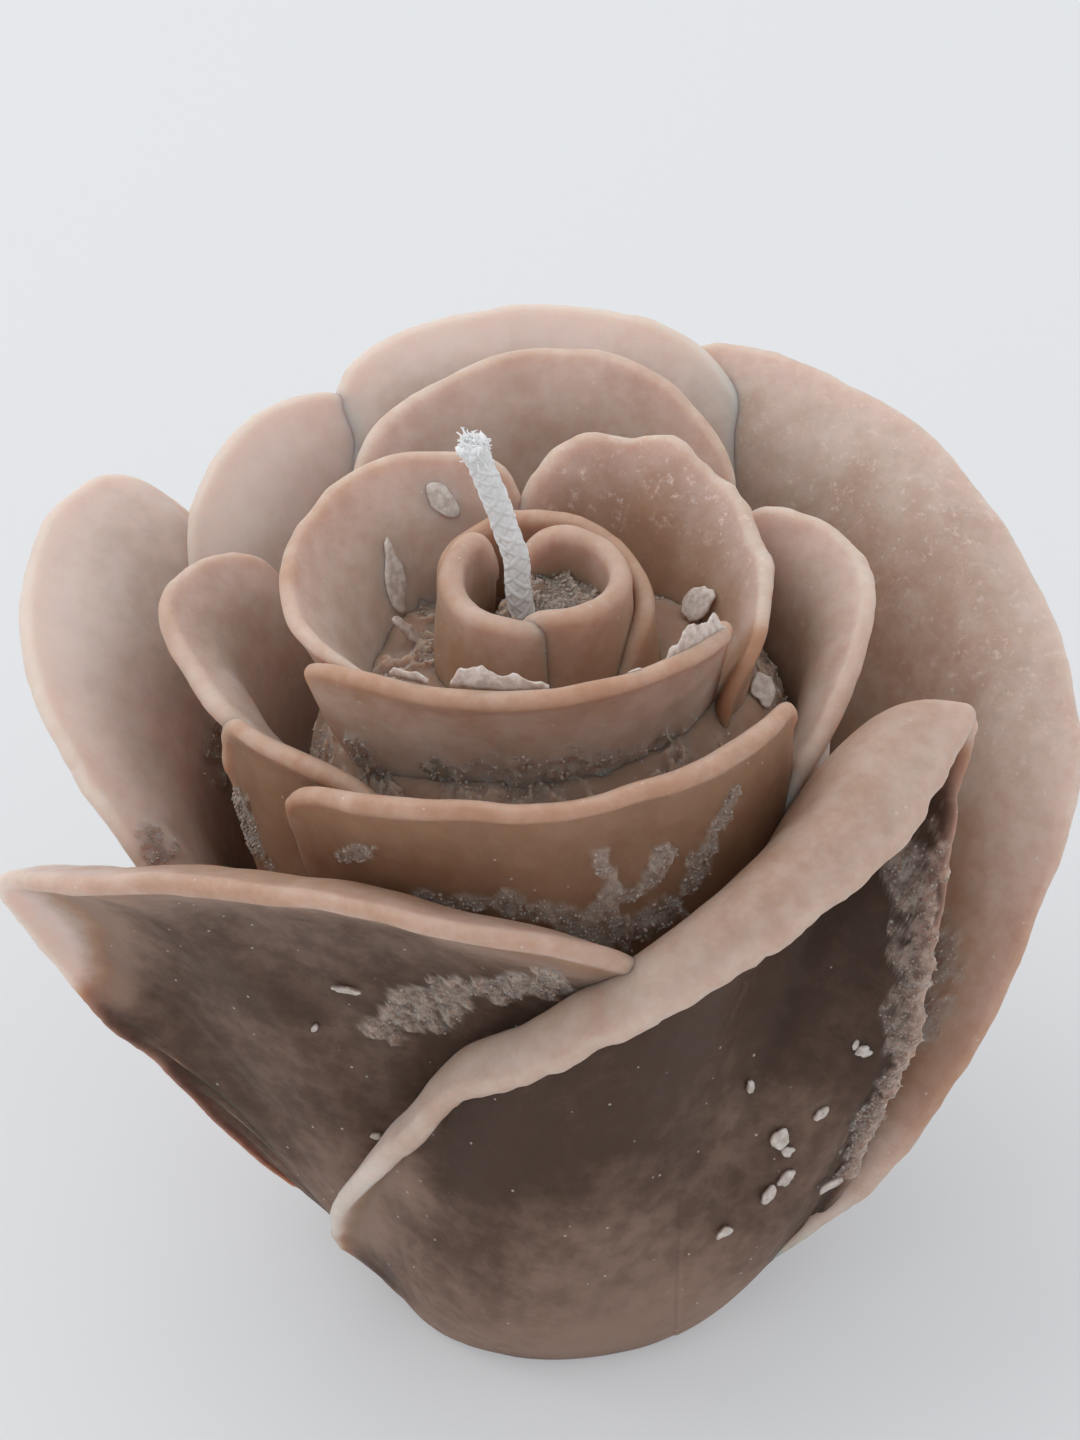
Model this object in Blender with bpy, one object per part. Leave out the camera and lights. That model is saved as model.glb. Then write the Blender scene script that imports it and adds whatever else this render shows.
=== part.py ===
"""Rose candle.

A free-standing wax candle in the form of an open rose, with one cotton wick. A solid
heart stands on a flat base and carries a tight bud and three rings of petals. Each petal
is a wall lofted from a foot, sunk in the heart, up to a rim that flares outwards.

Metres, +Z up. The origin is the middle of the base, and the rose is seen from -Y.
"""

import math
from dataclasses import dataclass

import bmesh
import bpy
import numpy as np
from mathutils.bvhtree import BVHTree

# Gap that any two pieces keep, and how far a cutter runs past what it cuts
CLEARANCE = 0.0003
CUT_OVERRUN = 0.0010

# Heart: flat base, full dome that carries the petals, and the plug inside the bud. The
# seat of the bud is the top of the dome
BASE_RADIUS = 0.0202
BASE_EDGE = 0.0008
HEART_RADIUS = 0.0250
HEART_WIDEST_HEIGHT = 0.0320
DOME_RISE = 0.0370
BUD_SEAT_HEIGHT = HEART_WIDEST_HEIGHT + DOME_RISE
BUD_SEAT_RADIUS = 0.0115
PLUG_RADIUS = 0.0054
PLUG_RISE = 0.0060
PLUG_HEIGHT = BUD_SEAT_HEIGHT + PLUG_RISE
PLUG_EDGE = 0.0008

# Wick: its own place beside the axis, and how far its free end leans
WICK_DIAMETER = 0.0022
WICK_X = -0.0030
WICK_Y = -0.0008
WICK_BOTTOM = 0.0003
WICK_LENGTH_ABOVE_PLUG = 0.0195
WICK_LEAN_X = -0.0046
WICK_LEAN_Y = -0.0006
WICK_POINT_SPACING = 0.0026

# Walls of the petals, ring by ring
BUD_BACK_WALL = 0.0024
BUD_WALL = 0.0029
INNER_WALL = 0.0028
MIDDLE_WALL = 0.0030
OUTER_WALL = 0.0034

# Feet of the petals, sunk in the heart by depths below the seat of the bud. Those of the
# bud stand straight below its rim
BUD_FOOT_DEPTH = 0.0120
INNER_FOOT_RADIUS = 0.0120
INNER_FOOT_DEPTH = 0.0220
MIDDLE_FOOT_RADIUS = 0.0190
MIDDLE_FOOT_DEPTH = 0.0330
OUTER_FOOT_RADIUS = 0.0175
OUTER_FOOT_HEIGHT = 0.0050
OUTER_LAYER_STEP = 0.0004
OUTER_LAYER_DROP = 0.0005

# Middle of the bud, a little to the left and front of the axis
BUD_X = -0.0016
BUD_Y = -0.0004

# Height of each petal's rim above the base, as a share of the bud seat's height
BUD_HEIGHT_SHARE = 1.152
INNER_LEFT_HEIGHT_SHARE = 1.159
INNER_BACK_RIGHT_HEIGHT_SHARE = 1.159
INNER_FRONT_HEIGHT_SHARE = 1.168
MIDDLE_BACK_HEIGHT_SHARE = 1.137
MIDDLE_LEFT_HEIGHT_SHARE = 1.043
MIDDLE_FRONT_LEFT_HEIGHT_SHARE = 1.014
MIDDLE_FRONT_HEIGHT_SHARE = 1.091
MIDDLE_RIGHT_HEIGHT_SHARE = 1.108
OUTER_BACK_HEIGHT_SHARE = 1.115
OUTER_BACK_LEFT_HEIGHT_SHARE = 1.058
OUTER_LEFT_HEIGHT_SHARE = 1.007
OUTER_FRONT_LEFT_HEIGHT_SHARE = 0.942
OUTER_FRONT_RIGHT_HEIGHT_SHARE = 1.017
OUTER_RIGHT_HEIGHT_SHARE = 1.087

# How far each petal reaches past the one that it wraps
BUD_BACK_SPACING = 0.0030
INNER_LEFT_SPACING = 0.0164
INNER_BACK_RIGHT_SPACING = 0.0132
INNER_FRONT_SPACING = 0.0172
MIDDLE_BACK_SPACING = 0.0157
MIDDLE_LEFT_SPACING = 0.0120
MIDDLE_FRONT_LEFT_SPACING = 0.0062
MIDDLE_FRONT_SPACING = 0.0062
MIDDLE_RIGHT_SPACING = 0.0078
OUTER_BACK_SPACING = 0.0100
OUTER_BACK_LEFT_SPACING = 0.0075
OUTER_LEFT_SPACING = 0.0160
OUTER_FRONT_LEFT_SPACING = 0.0213
OUTER_FRONT_RIGHT_SPACING = 0.0078
OUTER_RIGHT_SPACING = 0.0199

# Reach of each petal from its middle, worked out from the bud outwards
BUD_REACH = 0.0076
BUD_BACK_REACH = BUD_REACH + BUD_BACK_SPACING
INNER_LEFT_REACH = BUD_REACH + INNER_LEFT_SPACING
INNER_BACK_RIGHT_REACH = BUD_REACH + INNER_BACK_RIGHT_SPACING
INNER_FRONT_REACH = BUD_REACH + INNER_FRONT_SPACING
MIDDLE_BACK_REACH = INNER_BACK_RIGHT_REACH + MIDDLE_BACK_SPACING
MIDDLE_LEFT_REACH = INNER_LEFT_REACH + MIDDLE_LEFT_SPACING
MIDDLE_FRONT_LEFT_REACH = INNER_FRONT_REACH + MIDDLE_FRONT_LEFT_SPACING
MIDDLE_FRONT_REACH = INNER_FRONT_REACH + MIDDLE_FRONT_SPACING
MIDDLE_RIGHT_REACH = INNER_BACK_RIGHT_REACH + MIDDLE_RIGHT_SPACING
OUTER_BACK_REACH = MIDDLE_BACK_REACH + OUTER_BACK_SPACING
OUTER_BACK_LEFT_REACH = MIDDLE_LEFT_REACH + OUTER_BACK_LEFT_SPACING
OUTER_LEFT_REACH = MIDDLE_LEFT_REACH + OUTER_LEFT_SPACING
OUTER_FRONT_LEFT_REACH = MIDDLE_FRONT_LEFT_REACH + OUTER_FRONT_LEFT_SPACING
OUTER_FRONT_RIGHT_REACH = MIDDLE_FRONT_REACH + OUTER_FRONT_RIGHT_SPACING
OUTER_RIGHT_REACH = MIDDLE_RIGHT_REACH + OUTER_RIGHT_SPACING

# Counts
LONG_PETAL_COLUMNS = 24
BIG_PETAL_COLUMNS = 18
SMALL_PETAL_COLUMNS = 13
WALL_ROWS = 7
RIM_ROWS = 3
HEART_SIDES = 40
HEART_ROWS = 9
BORE_SIDES = 12
WICK_RESOLUTION = 2

# The dome's outline is a quarter ellipse made fuller by taking this power, below one
DOME_FULLNESS_SHARE = 0.6

# A wall swells at its foot and thins at its rim, by these shares of its thickness
FOOT_SWELL_SHARE = 1.25
RIM_SWELL_SHARE = 0.90
SIDE_EDGE_SHARE = 0.14

# Colours
HEART_COLOUR = (0.36, 0.24, 0.19)
PETAL_COLOUR = (0.45, 0.31, 0.25)
WICK_COLOUR = (0.80, 0.80, 0.82)


@dataclass
class Petal:
    """One petal. Angles are in degrees, and headings run counter-clockwise from +X. Its
    height is height_share times the height of the bud's seat. A wall leaves its foot at
    belly_rise above the horizontal, which may be a pair, for the foot's first and last
    column. Each row of rim_shares is a heading, the share of reach, the share of height,
    and the flare of the wall at the rim, again above the horizontal."""

    name: str
    reach: float
    height_share: float
    wall: float
    foot_radius: float
    foot_height: float
    foot_headings: tuple
    belly_rise: float | tuple
    belly_share: float
    lip_share: float
    rim_shares: list
    middle: tuple = (0.0, 0.0)
    columns: int = BIG_PETAL_COLUMNS


def clear_scene():
    """Removes the objects that a new file starts with."""
    for obj in list(bpy.data.objects):
        bpy.data.objects.remove(obj, do_unlink=True)


def finish(name, colour, roughness, metallic=0.0):
    """A Principled material of one colour."""
    material = bpy.data.materials.new(name)
    material.use_nodes = True
    shader = material.node_tree.nodes["Principled BSDF"]
    shader.inputs["Base Color"].default_value = (*colour, 1.0)
    shader.inputs["Roughness"].default_value = roughness
    shader.inputs["Metallic"].default_value = metallic
    return material


def mesh_object(name, bm, material):
    """Turns a bmesh into an object of the scene, shaded smooth away from sharp edges."""
    bmesh.ops.recalc_face_normals(bm, faces=bm.faces)
    mesh = bpy.data.meshes.new(name)
    bm.to_mesh(mesh)
    bm.free()
    mesh.shade_smooth()
    mesh.set_sharp_from_angle(angle=math.radians(50))
    if material is not None:
        mesh.materials.append(material)
    obj = bpy.data.objects.new(name, mesh)
    bpy.context.scene.collection.objects.link(obj)
    return obj


def as_cutter(obj):
    """Keeps an object out of the model, as a tool for cutting only."""
    obj.hide_render = True
    obj.display_type = "WIRE"
    return obj


def cut(obj, cutter):
    """Takes the cutter's space away from the object."""
    boolean = obj.modifiers.new("cut_" + cutter.name, "BOOLEAN")
    boolean.operation = "DIFFERENCE"
    boolean.solver = "EXACT"
    boolean.object = cutter


def smooth_through(rows, along):
    """Catmull-Rom curve through the rows of a table, at each share along it from 0 to 1."""
    rows = np.asarray(rows, float)
    ends = np.vstack([2 * rows[0] - rows[1], rows, 2 * rows[-1] - rows[-2]])
    place = np.clip(along, 0, 1) * (len(rows) - 1)
    first = np.minimum(place.astype(int), len(rows) - 2)
    t = (place - first)[:, None]
    a, b, c, d = ends[first], ends[first + 1], ends[first + 2], ends[first + 3]
    return 0.5 * (
        2 * b
        + (c - a) * t
        + (2 * a - 5 * b + 4 * c - d) * t**2
        + (3 * b - a - 3 * c + d) * t**3
    )


def around(middle, heading, radius, height):
    """Points at headings, radii and heights round a vertical axis."""
    x = middle[0] + radius * np.cos(heading)
    y = middle[1] + radius * np.sin(heading)
    return np.stack([x, y, height + np.zeros_like(x)], axis=-1)


def pointing(heading, rise):
    """Unit vectors that point along a heading and rise from the horizontal."""
    level = np.cos(rise)
    return np.stack([level * np.cos(heading), level * np.sin(heading), np.sin(rise)], axis=-1)


def unit(vectors):
    """Vectors brought to length one."""
    return vectors / np.linalg.norm(vectors, axis=-1, keepdims=True)


def petal_sheet(petal):
    """Middle surface of a petal. Each column is a Bezier curve that leaves the foot at the
    belly's rise and meets the rim at the rim's flare."""
    across = np.linspace(0, 1, petal.columns)
    heading, reach, height, flare = smooth_through(petal.rim_shares, across).T
    heading, flare = np.radians(heading), np.radians(flare)
    rim_height = height * petal.height_share * BUD_SEAT_HEIGHT
    rim = around(petal.middle, heading, reach * petal.reach, rim_height)

    first, last = np.radians(petal.foot_headings)
    foot_heading = first + (last - first) * across
    foot_radius = np.full_like(across, petal.foot_radius)
    foot = around(petal.middle, foot_heading, foot_radius, petal.foot_height)

    chord = np.linalg.norm(rim - foot, axis=1)[:, None]
    rises = np.radians(np.broadcast_to(petal.belly_rise, 2))
    leaving = rises[0] + (rises[1] - rises[0]) * across
    low = foot + petal.belly_share * chord * pointing(foot_heading, leaving)
    high = rim - petal.lip_share * chord * pointing(heading, flare)

    v = np.linspace(0, 1, WALL_ROWS)[None, :, None]
    ends = [p[:, None] for p in (foot, low, high, rim)]
    sheet = ends[0] * (1 - v) ** 3 + 3 * ends[1] * v * (1 - v) ** 2
    sheet += 3 * ends[2] * v**2 * (1 - v) + ends[3] * v**3
    return sheet, across


def petal_loops(petal, grow=0.0):
    """Closed cross-sections of a petal, one for each column: up its inner face, over a
    half-round rim and down its outer face. Grow thickens the wall and reaches past its
    edges, which leaves a clearance when the loops are used for a cutter."""
    sheet, across = petal_sheet(petal)
    along = unit(np.gradient(sheet, axis=0))
    upward = unit(np.gradient(sheet, axis=1))
    outward = unit(np.cross(along, upward))
    sideways = unit(np.cross(upward, outward))
    rimward = unit(np.cross(outward, along))[:, -1:]
    sheet[0] -= sideways[0] * grow
    sheet[-1] += sideways[-1] * grow
    sheet[:, 0] -= upward[:, 0] * grow

    edge = np.sqrt(np.clip(1 - np.abs(2 * across - 1) ** 5, SIDE_EDGE_SHARE**2, 1))
    swell = np.linspace(FOOT_SWELL_SHARE, RIM_SWELL_SHARE, WALL_ROWS)
    half = 0.5 * petal.wall * edge[:, None, None] * swell[None, :, None] + grow
    inner = sheet - outward * half
    outer = sheet + outward * half

    turn = (np.arange(RIM_ROWS) + 1) * math.pi / (RIM_ROWS + 1)
    turn = turn[None, :, None]
    rim = sheet[:, -1:] + half[:, -1:] * (
        rimward * np.sin(turn) - outward[:, -1:] * np.cos(turn)
    )
    return np.concatenate([inner, rim, outer[:, ::-1]], axis=1)


def lofted(loops):
    """Skin over closed loops of equally many points. The first and last loop are closed
    like a ladder, with rungs from the inner face to the outer face."""
    bm = bmesh.new()
    rings = [[bm.verts.new(point) for point in loop] for loop in loops]
    count = len(rings[0])
    for near, far in zip(rings, rings[1:]):
        for i in range(count):
            j = (i + 1) % count
            bm.faces.new((near[i], near[j], far[j], far[i]))
    for ring in (rings[0], rings[-1]):
        for i in range(count // 2):
            rung = [ring[i], ring[i + 1], ring[-i - 2], ring[-i - 1]]
            bm.faces.new(list(dict.fromkeys(rung)))
    bmesh.ops.triangulate(bm, faces=bm.faces)
    return bm


def turned(profile, sides, middle=(0.0, 0.0)):
    """Solid turned round a vertical axis from a profile of radii and heights. The profile
    starts and ends on the axis."""
    bm = bmesh.new()
    points = [bm.verts.new((middle[0] + r, middle[1], z)) for r, z in profile]
    edges = [bm.edges.new(pair) for pair in zip(points, points[1:])]
    bmesh.ops.spin(
        bm,
        geom=points + edges,
        cent=(*middle, 0),
        axis=(0, 0, 1),
        angle=math.tau,
        steps=sides,
        use_duplicate=False,
    )
    bmesh.ops.remove_doubles(bm, verts=bm.verts, dist=CLEARANCE / 100)
    return bm


def heart_profile(grow=0.0):
    """Outline of the heart: flat base, bulging side, dome, and the plug in the bud. Grow
    moves the outline outwards by that much."""
    quarter = np.linspace(0, 0.5 * math.pi, HEART_ROWS)
    points = [(0, -grow)]
    points.append((BASE_RADIUS - BASE_EDGE + grow, -grow))
    points.append((BASE_RADIUS + grow, BASE_EDGE - grow))
    for angle in quarter[1:]:
        radius = BASE_RADIUS + (HEART_RADIUS - BASE_RADIUS) * (1 - math.cos(angle))
        height = BASE_EDGE + (HEART_WIDEST_HEIGHT - BASE_EDGE) * math.sin(angle)
        points.append((radius + grow, height))
    for angle in quarter[1:]:
        out, up = math.cos(angle) ** DOME_FULLNESS_SHARE, math.sin(angle) ** DOME_FULLNESS_SHARE
        radius = BUD_SEAT_RADIUS + (HEART_RADIUS - BUD_SEAT_RADIUS) * out
        height = HEART_WIDEST_HEIGHT + DOME_RISE * up
        points.append((radius + grow * out, height + grow * up))
    points.append((PLUG_RADIUS + grow, BUD_SEAT_HEIGHT + grow))
    points.append((PLUG_RADIUS + grow, PLUG_HEIGHT - PLUG_EDGE))
    points.append((PLUG_RADIUS - PLUG_EDGE + grow, PLUG_HEIGHT + grow))
    points.append((0, PLUG_HEIGHT + grow))
    return points


def wax_heart():
    """Heart of the candle, with the bore that the wick passes through."""
    material = finish("wax_core", HEART_COLOUR, 0.55)
    heart = mesh_object("wax_core", turned(heart_profile(), HEART_SIDES), material)
    radius = 0.5 * WICK_DIAMETER + CLEARANCE
    bore = turned(
        [
            (0, -CUT_OVERRUN),
            (radius, -CUT_OVERRUN),
            (radius, PLUG_HEIGHT + CUT_OVERRUN),
            (0, PLUG_HEIGHT + CUT_OVERRUN),
        ],
        BORE_SIDES,
        (WICK_X, WICK_Y),
    )
    cut(heart, as_cutter(mesh_object("wick_bore", bore, None)))
    return heart


def wick():
    """Stiff cotton wick: upright in its bore, then leaning out of the bud with a slight
    double bend. It starts just above the floor."""
    stem = PLUG_HEIGHT - WICK_BOTTOM
    lean_shares = [(0, 0, 0), (0.10, 0.10, 0.18), (0.38, 0.02, 0.40), (0.55, 0.30, 0.62)]
    lean_shares += [(0.72, 0.66, 0.82), (1, 1, 1)]
    count = round((stem + WICK_LENGTH_ABOVE_PLUG) / WICK_POINT_SPACING)
    curve = bpy.data.curves.new("wick", "CURVE")
    curve.dimensions = "3D"
    curve.bevel_depth = 0.5 * WICK_DIAMETER
    curve.bevel_resolution = WICK_RESOLUTION
    curve.use_fill_caps = True
    spline = curve.splines.new("POLY")
    spline.points.add(count)
    for i, point in enumerate(spline.points):
        height = WICK_BOTTOM + (stem + WICK_LENGTH_ABOVE_PLUG) * i / count
        above = np.array([max(0.0, (height - PLUG_HEIGHT) / WICK_LENGTH_ABOVE_PLUG)])
        lean_x, lean_y, _ = smooth_through(lean_shares, above)[0]
        x = WICK_X + WICK_LEAN_X * lean_x
        y = WICK_Y + WICK_LEAN_Y * lean_y
        point.co = (x, y, height, 1.0)
    curve.materials.append(finish("wick", WICK_COLOUR, 0.9))
    obj = bpy.data.objects.new("wick", curve)
    bpy.context.scene.collection.objects.link(obj)
    return obj


def bud_petals():
    """Three upright walls of the tight bud: one round its left, one that spirals from inside
    it round the right and in at the back, and one outside them round the back."""
    shared = dict(
        foot_height=BUD_SEAT_HEIGHT - BUD_FOOT_DEPTH, belly_rise=88, belly_share=0.3, lip_share=0.3,
        middle=(BUD_X, BUD_Y),
    )
    left = Petal(
        "bud_petal_left", BUD_REACH, BUD_HEIGHT_SHARE, BUD_WALL,
        foot_radius=BUD_REACH, foot_headings=(128, 290),
        rim_shares=[
            (124, 0.92, 0.930, 90), (138, 1.00, 0.985, 90), (165, 1.02, 0.985, 90),
            (200, 1.04, 0.980, 90), (235, 1.08, 0.975, 90), (262, 1.12, 0.965, 90),
            (282, 1.12, 0.945, 90), (296, 1.08, 0.905, 90),
        ],
        **shared,
    )
    right = Petal(
        "bud_petal_right", BUD_REACH, BUD_HEIGHT_SHARE, BUD_WALL,
        foot_radius=BUD_REACH, foot_headings=(262, 462),
        rim_shares=[
            (252, 0.74, 0.945, 90), (270, 0.85, 0.980, 90), (290, 0.98, 0.990, 88),
            (312, 1.03, 0.992, 88), (340, 1.02, 0.990, 88), (372, 0.98, 0.985, 90),
            (408, 0.95, 0.985, 90), (440, 0.84, 0.985, 92), (470, 0.66, 0.955, 95),
        ],
        **shared,
    )
    back = Petal(
        "bud_petal_back", BUD_BACK_REACH, BUD_HEIGHT_SHARE, BUD_BACK_WALL,
        foot_radius=BUD_BACK_REACH, foot_headings=(-34, 150),
        rim_shares=[
            (-38, 0.88, 0.890, 90), (-20, 0.90, 0.930, 90), (8, 0.92, 0.942, 90),
            (35, 0.95, 0.955, 90), (60, 1.00, 0.965, 88), (85, 1.00, 0.972, 88),
            (116, 1.00, 0.970, 88), (140, 1.00, 0.955, 90), (152, 0.98, 0.910, 90),
        ],
        **shared,
    )
    return [left, right, back]


def inner_petals():
    """Ring of three petals that opens round the bud."""
    shared = dict(
        foot_radius=INNER_FOOT_RADIUS, foot_height=BUD_SEAT_HEIGHT - INNER_FOOT_DEPTH,
        belly_rise=74, belly_share=0.36, columns=SMALL_PETAL_COLUMNS,
    )
    left = Petal(
        "inner_petal_left", INNER_LEFT_REACH, INNER_LEFT_HEIGHT_SHARE, INNER_WALL,
        foot_headings=(100, 240), lip_share=0.36,
        rim_shares=[
            (95, 0.62, 0.875, 78), (108, 0.73, 0.980, 70), (125, 0.85, 1.000, 60),
            (150, 0.96, 1.000, 52), (175, 1.00, 0.990, 50), (200, 1.00, 0.970, 54),
            (222, 0.91, 0.955, 64), (240, 0.79, 0.875, 78),
        ],
        **shared,
    )
    back_right = Petal(
        "inner_petal_back_right", INNER_BACK_RIGHT_REACH, INNER_BACK_RIGHT_HEIGHT_SHARE, INNER_WALL,
        foot_headings=(-30, 104), lip_share=0.36,
        rim_shares=[
            (-35, 0.84, 0.825, 78), (-20, 0.89, 0.910, 70), (5, 0.93, 0.950, 62),
            (35, 1.00, 0.980, 55), (58, 0.98, 1.000, 55), (80, 0.96, 0.995, 60),
            (95, 0.84, 0.970, 68), (108, 0.74, 0.890, 78),
        ],
        **shared,
    )
    front = Petal(
        "inner_petal_front", INNER_FRONT_REACH, INNER_FRONT_HEIGHT_SHARE, INNER_WALL,
        foot_headings=(208, 342), lip_share=0.20,
        rim_shares=[
            (204, 0.92, 0.870, 80), (211, 1.00, 0.953, 65), (235, 0.90, 0.973, 45),
            (265, 0.85, 0.990, 38), (295, 0.82, 1.000, 38), (320, 0.76, 0.990, 50),
            (336, 0.66, 0.950, 70), (345, 0.60, 0.870, 80),
        ],
        **shared,
    )
    return [left, back_right, front]


def middle_petals():
    """Ring of five petals between the inner ring and the big outer petals."""
    shared = dict(
        foot_radius=MIDDLE_FOOT_RADIUS, foot_height=BUD_SEAT_HEIGHT - MIDDLE_FOOT_DEPTH,
        columns=SMALL_PETAL_COLUMNS,
    )
    back = Petal(
        "middle_petal_back", MIDDLE_BACK_REACH, MIDDLE_BACK_HEIGHT_SHARE, MIDDLE_WALL,
        foot_headings=(55, 130), belly_rise=50, belly_share=0.5, lip_share=0.35,
        rim_shares=[
            (50, 0.74, 0.840, 70), (58, 0.82, 0.945, 60), (75, 0.93, 0.995, 55),
            (93, 1.00, 1.000, 50), (110, 0.94, 0.980, 55), (125, 0.83, 0.960, 60),
            (138, 0.74, 0.865, 70),
        ],
        **shared,
    )
    left = Petal(
        "middle_petal_left", MIDDLE_LEFT_REACH, MIDDLE_LEFT_HEIGHT_SHARE, MIDDLE_WALL,
        foot_headings=(150, 216), belly_rise=45, belly_share=0.5, lip_share=0.35,
        rim_shares=[
            (146, 0.80, 0.835, 60), (151, 0.89, 0.945, 50), (160, 0.97, 0.985, 42),
            (173, 1.00, 1.000, 37), (188, 0.91, 0.970, 37), (200, 0.83, 0.950, 42),
            (212, 0.74, 0.915, 52), (221, 0.67, 0.835, 62),
        ],
        **shared,
    )
    front_left = Petal(
        "middle_petal_front_left", MIDDLE_FRONT_LEFT_REACH, MIDDLE_FRONT_LEFT_HEIGHT_SHARE, MIDDLE_WALL,
        foot_headings=(198, 240), belly_rise=45, belly_share=0.5, lip_share=0.22,
        rim_shares=[
            (196, 1.00, 0.885, 70), (201, 1.00, 0.985, 50), (211, 0.95, 1.000, 38),
            (224, 0.87, 0.985, 35), (234, 0.82, 0.945, 45), (242, 0.77, 0.855, 65),
        ],
        **shared,
    )
    front = Petal(
        "middle_petal_front", MIDDLE_FRONT_REACH, MIDDLE_FRONT_HEIGHT_SHARE, MIDDLE_WALL,
        foot_headings=(214, 332), belly_rise=55, belly_share=0.35, lip_share=0.14,
        rim_shares=[
            (212, 0.90, 0.800, 75), (222, 0.98, 0.910, 52), (240, 1.00, 0.963, 32),
            (262, 0.97, 0.982, 26), (285, 0.93, 0.990, 26), (305, 0.89, 1.000, 32),
            (321, 0.83, 0.996, 50), (332, 0.78, 0.930, 75),
        ],
        **shared,
    )
    right = Petal(
        "middle_petal_right", MIDDLE_RIGHT_REACH, MIDDLE_RIGHT_HEIGHT_SHARE, MIDDLE_WALL,
        foot_headings=(-42, 44), belly_rise=50, belly_share=0.42, lip_share=0.35,
        rim_shares=[
            (-42, 0.77, 0.705, 70), (-36, 0.84, 0.785, 62), (-26, 0.89, 0.865, 55),
            (-12, 0.94, 0.920, 50), (2, 0.99, 0.965, 46), (13, 1.00, 0.985, 44),
            (24, 0.93, 1.000, 50), (36, 0.82, 0.985, 60), (46, 0.74, 0.890, 72),
        ],
        **shared,
    )
    return [back, left, front_left, front, right]


def outer_foot(layer):
    """Radius and height of an outer petal's foot. Each layer laps round the one before, so
    its foot stands further out and lower."""
    return dict(
        foot_radius=OUTER_FOOT_RADIUS + layer * OUTER_LAYER_STEP,
        foot_height=OUTER_FOOT_HEIGHT - layer * OUTER_LAYER_DROP,
    )


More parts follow.
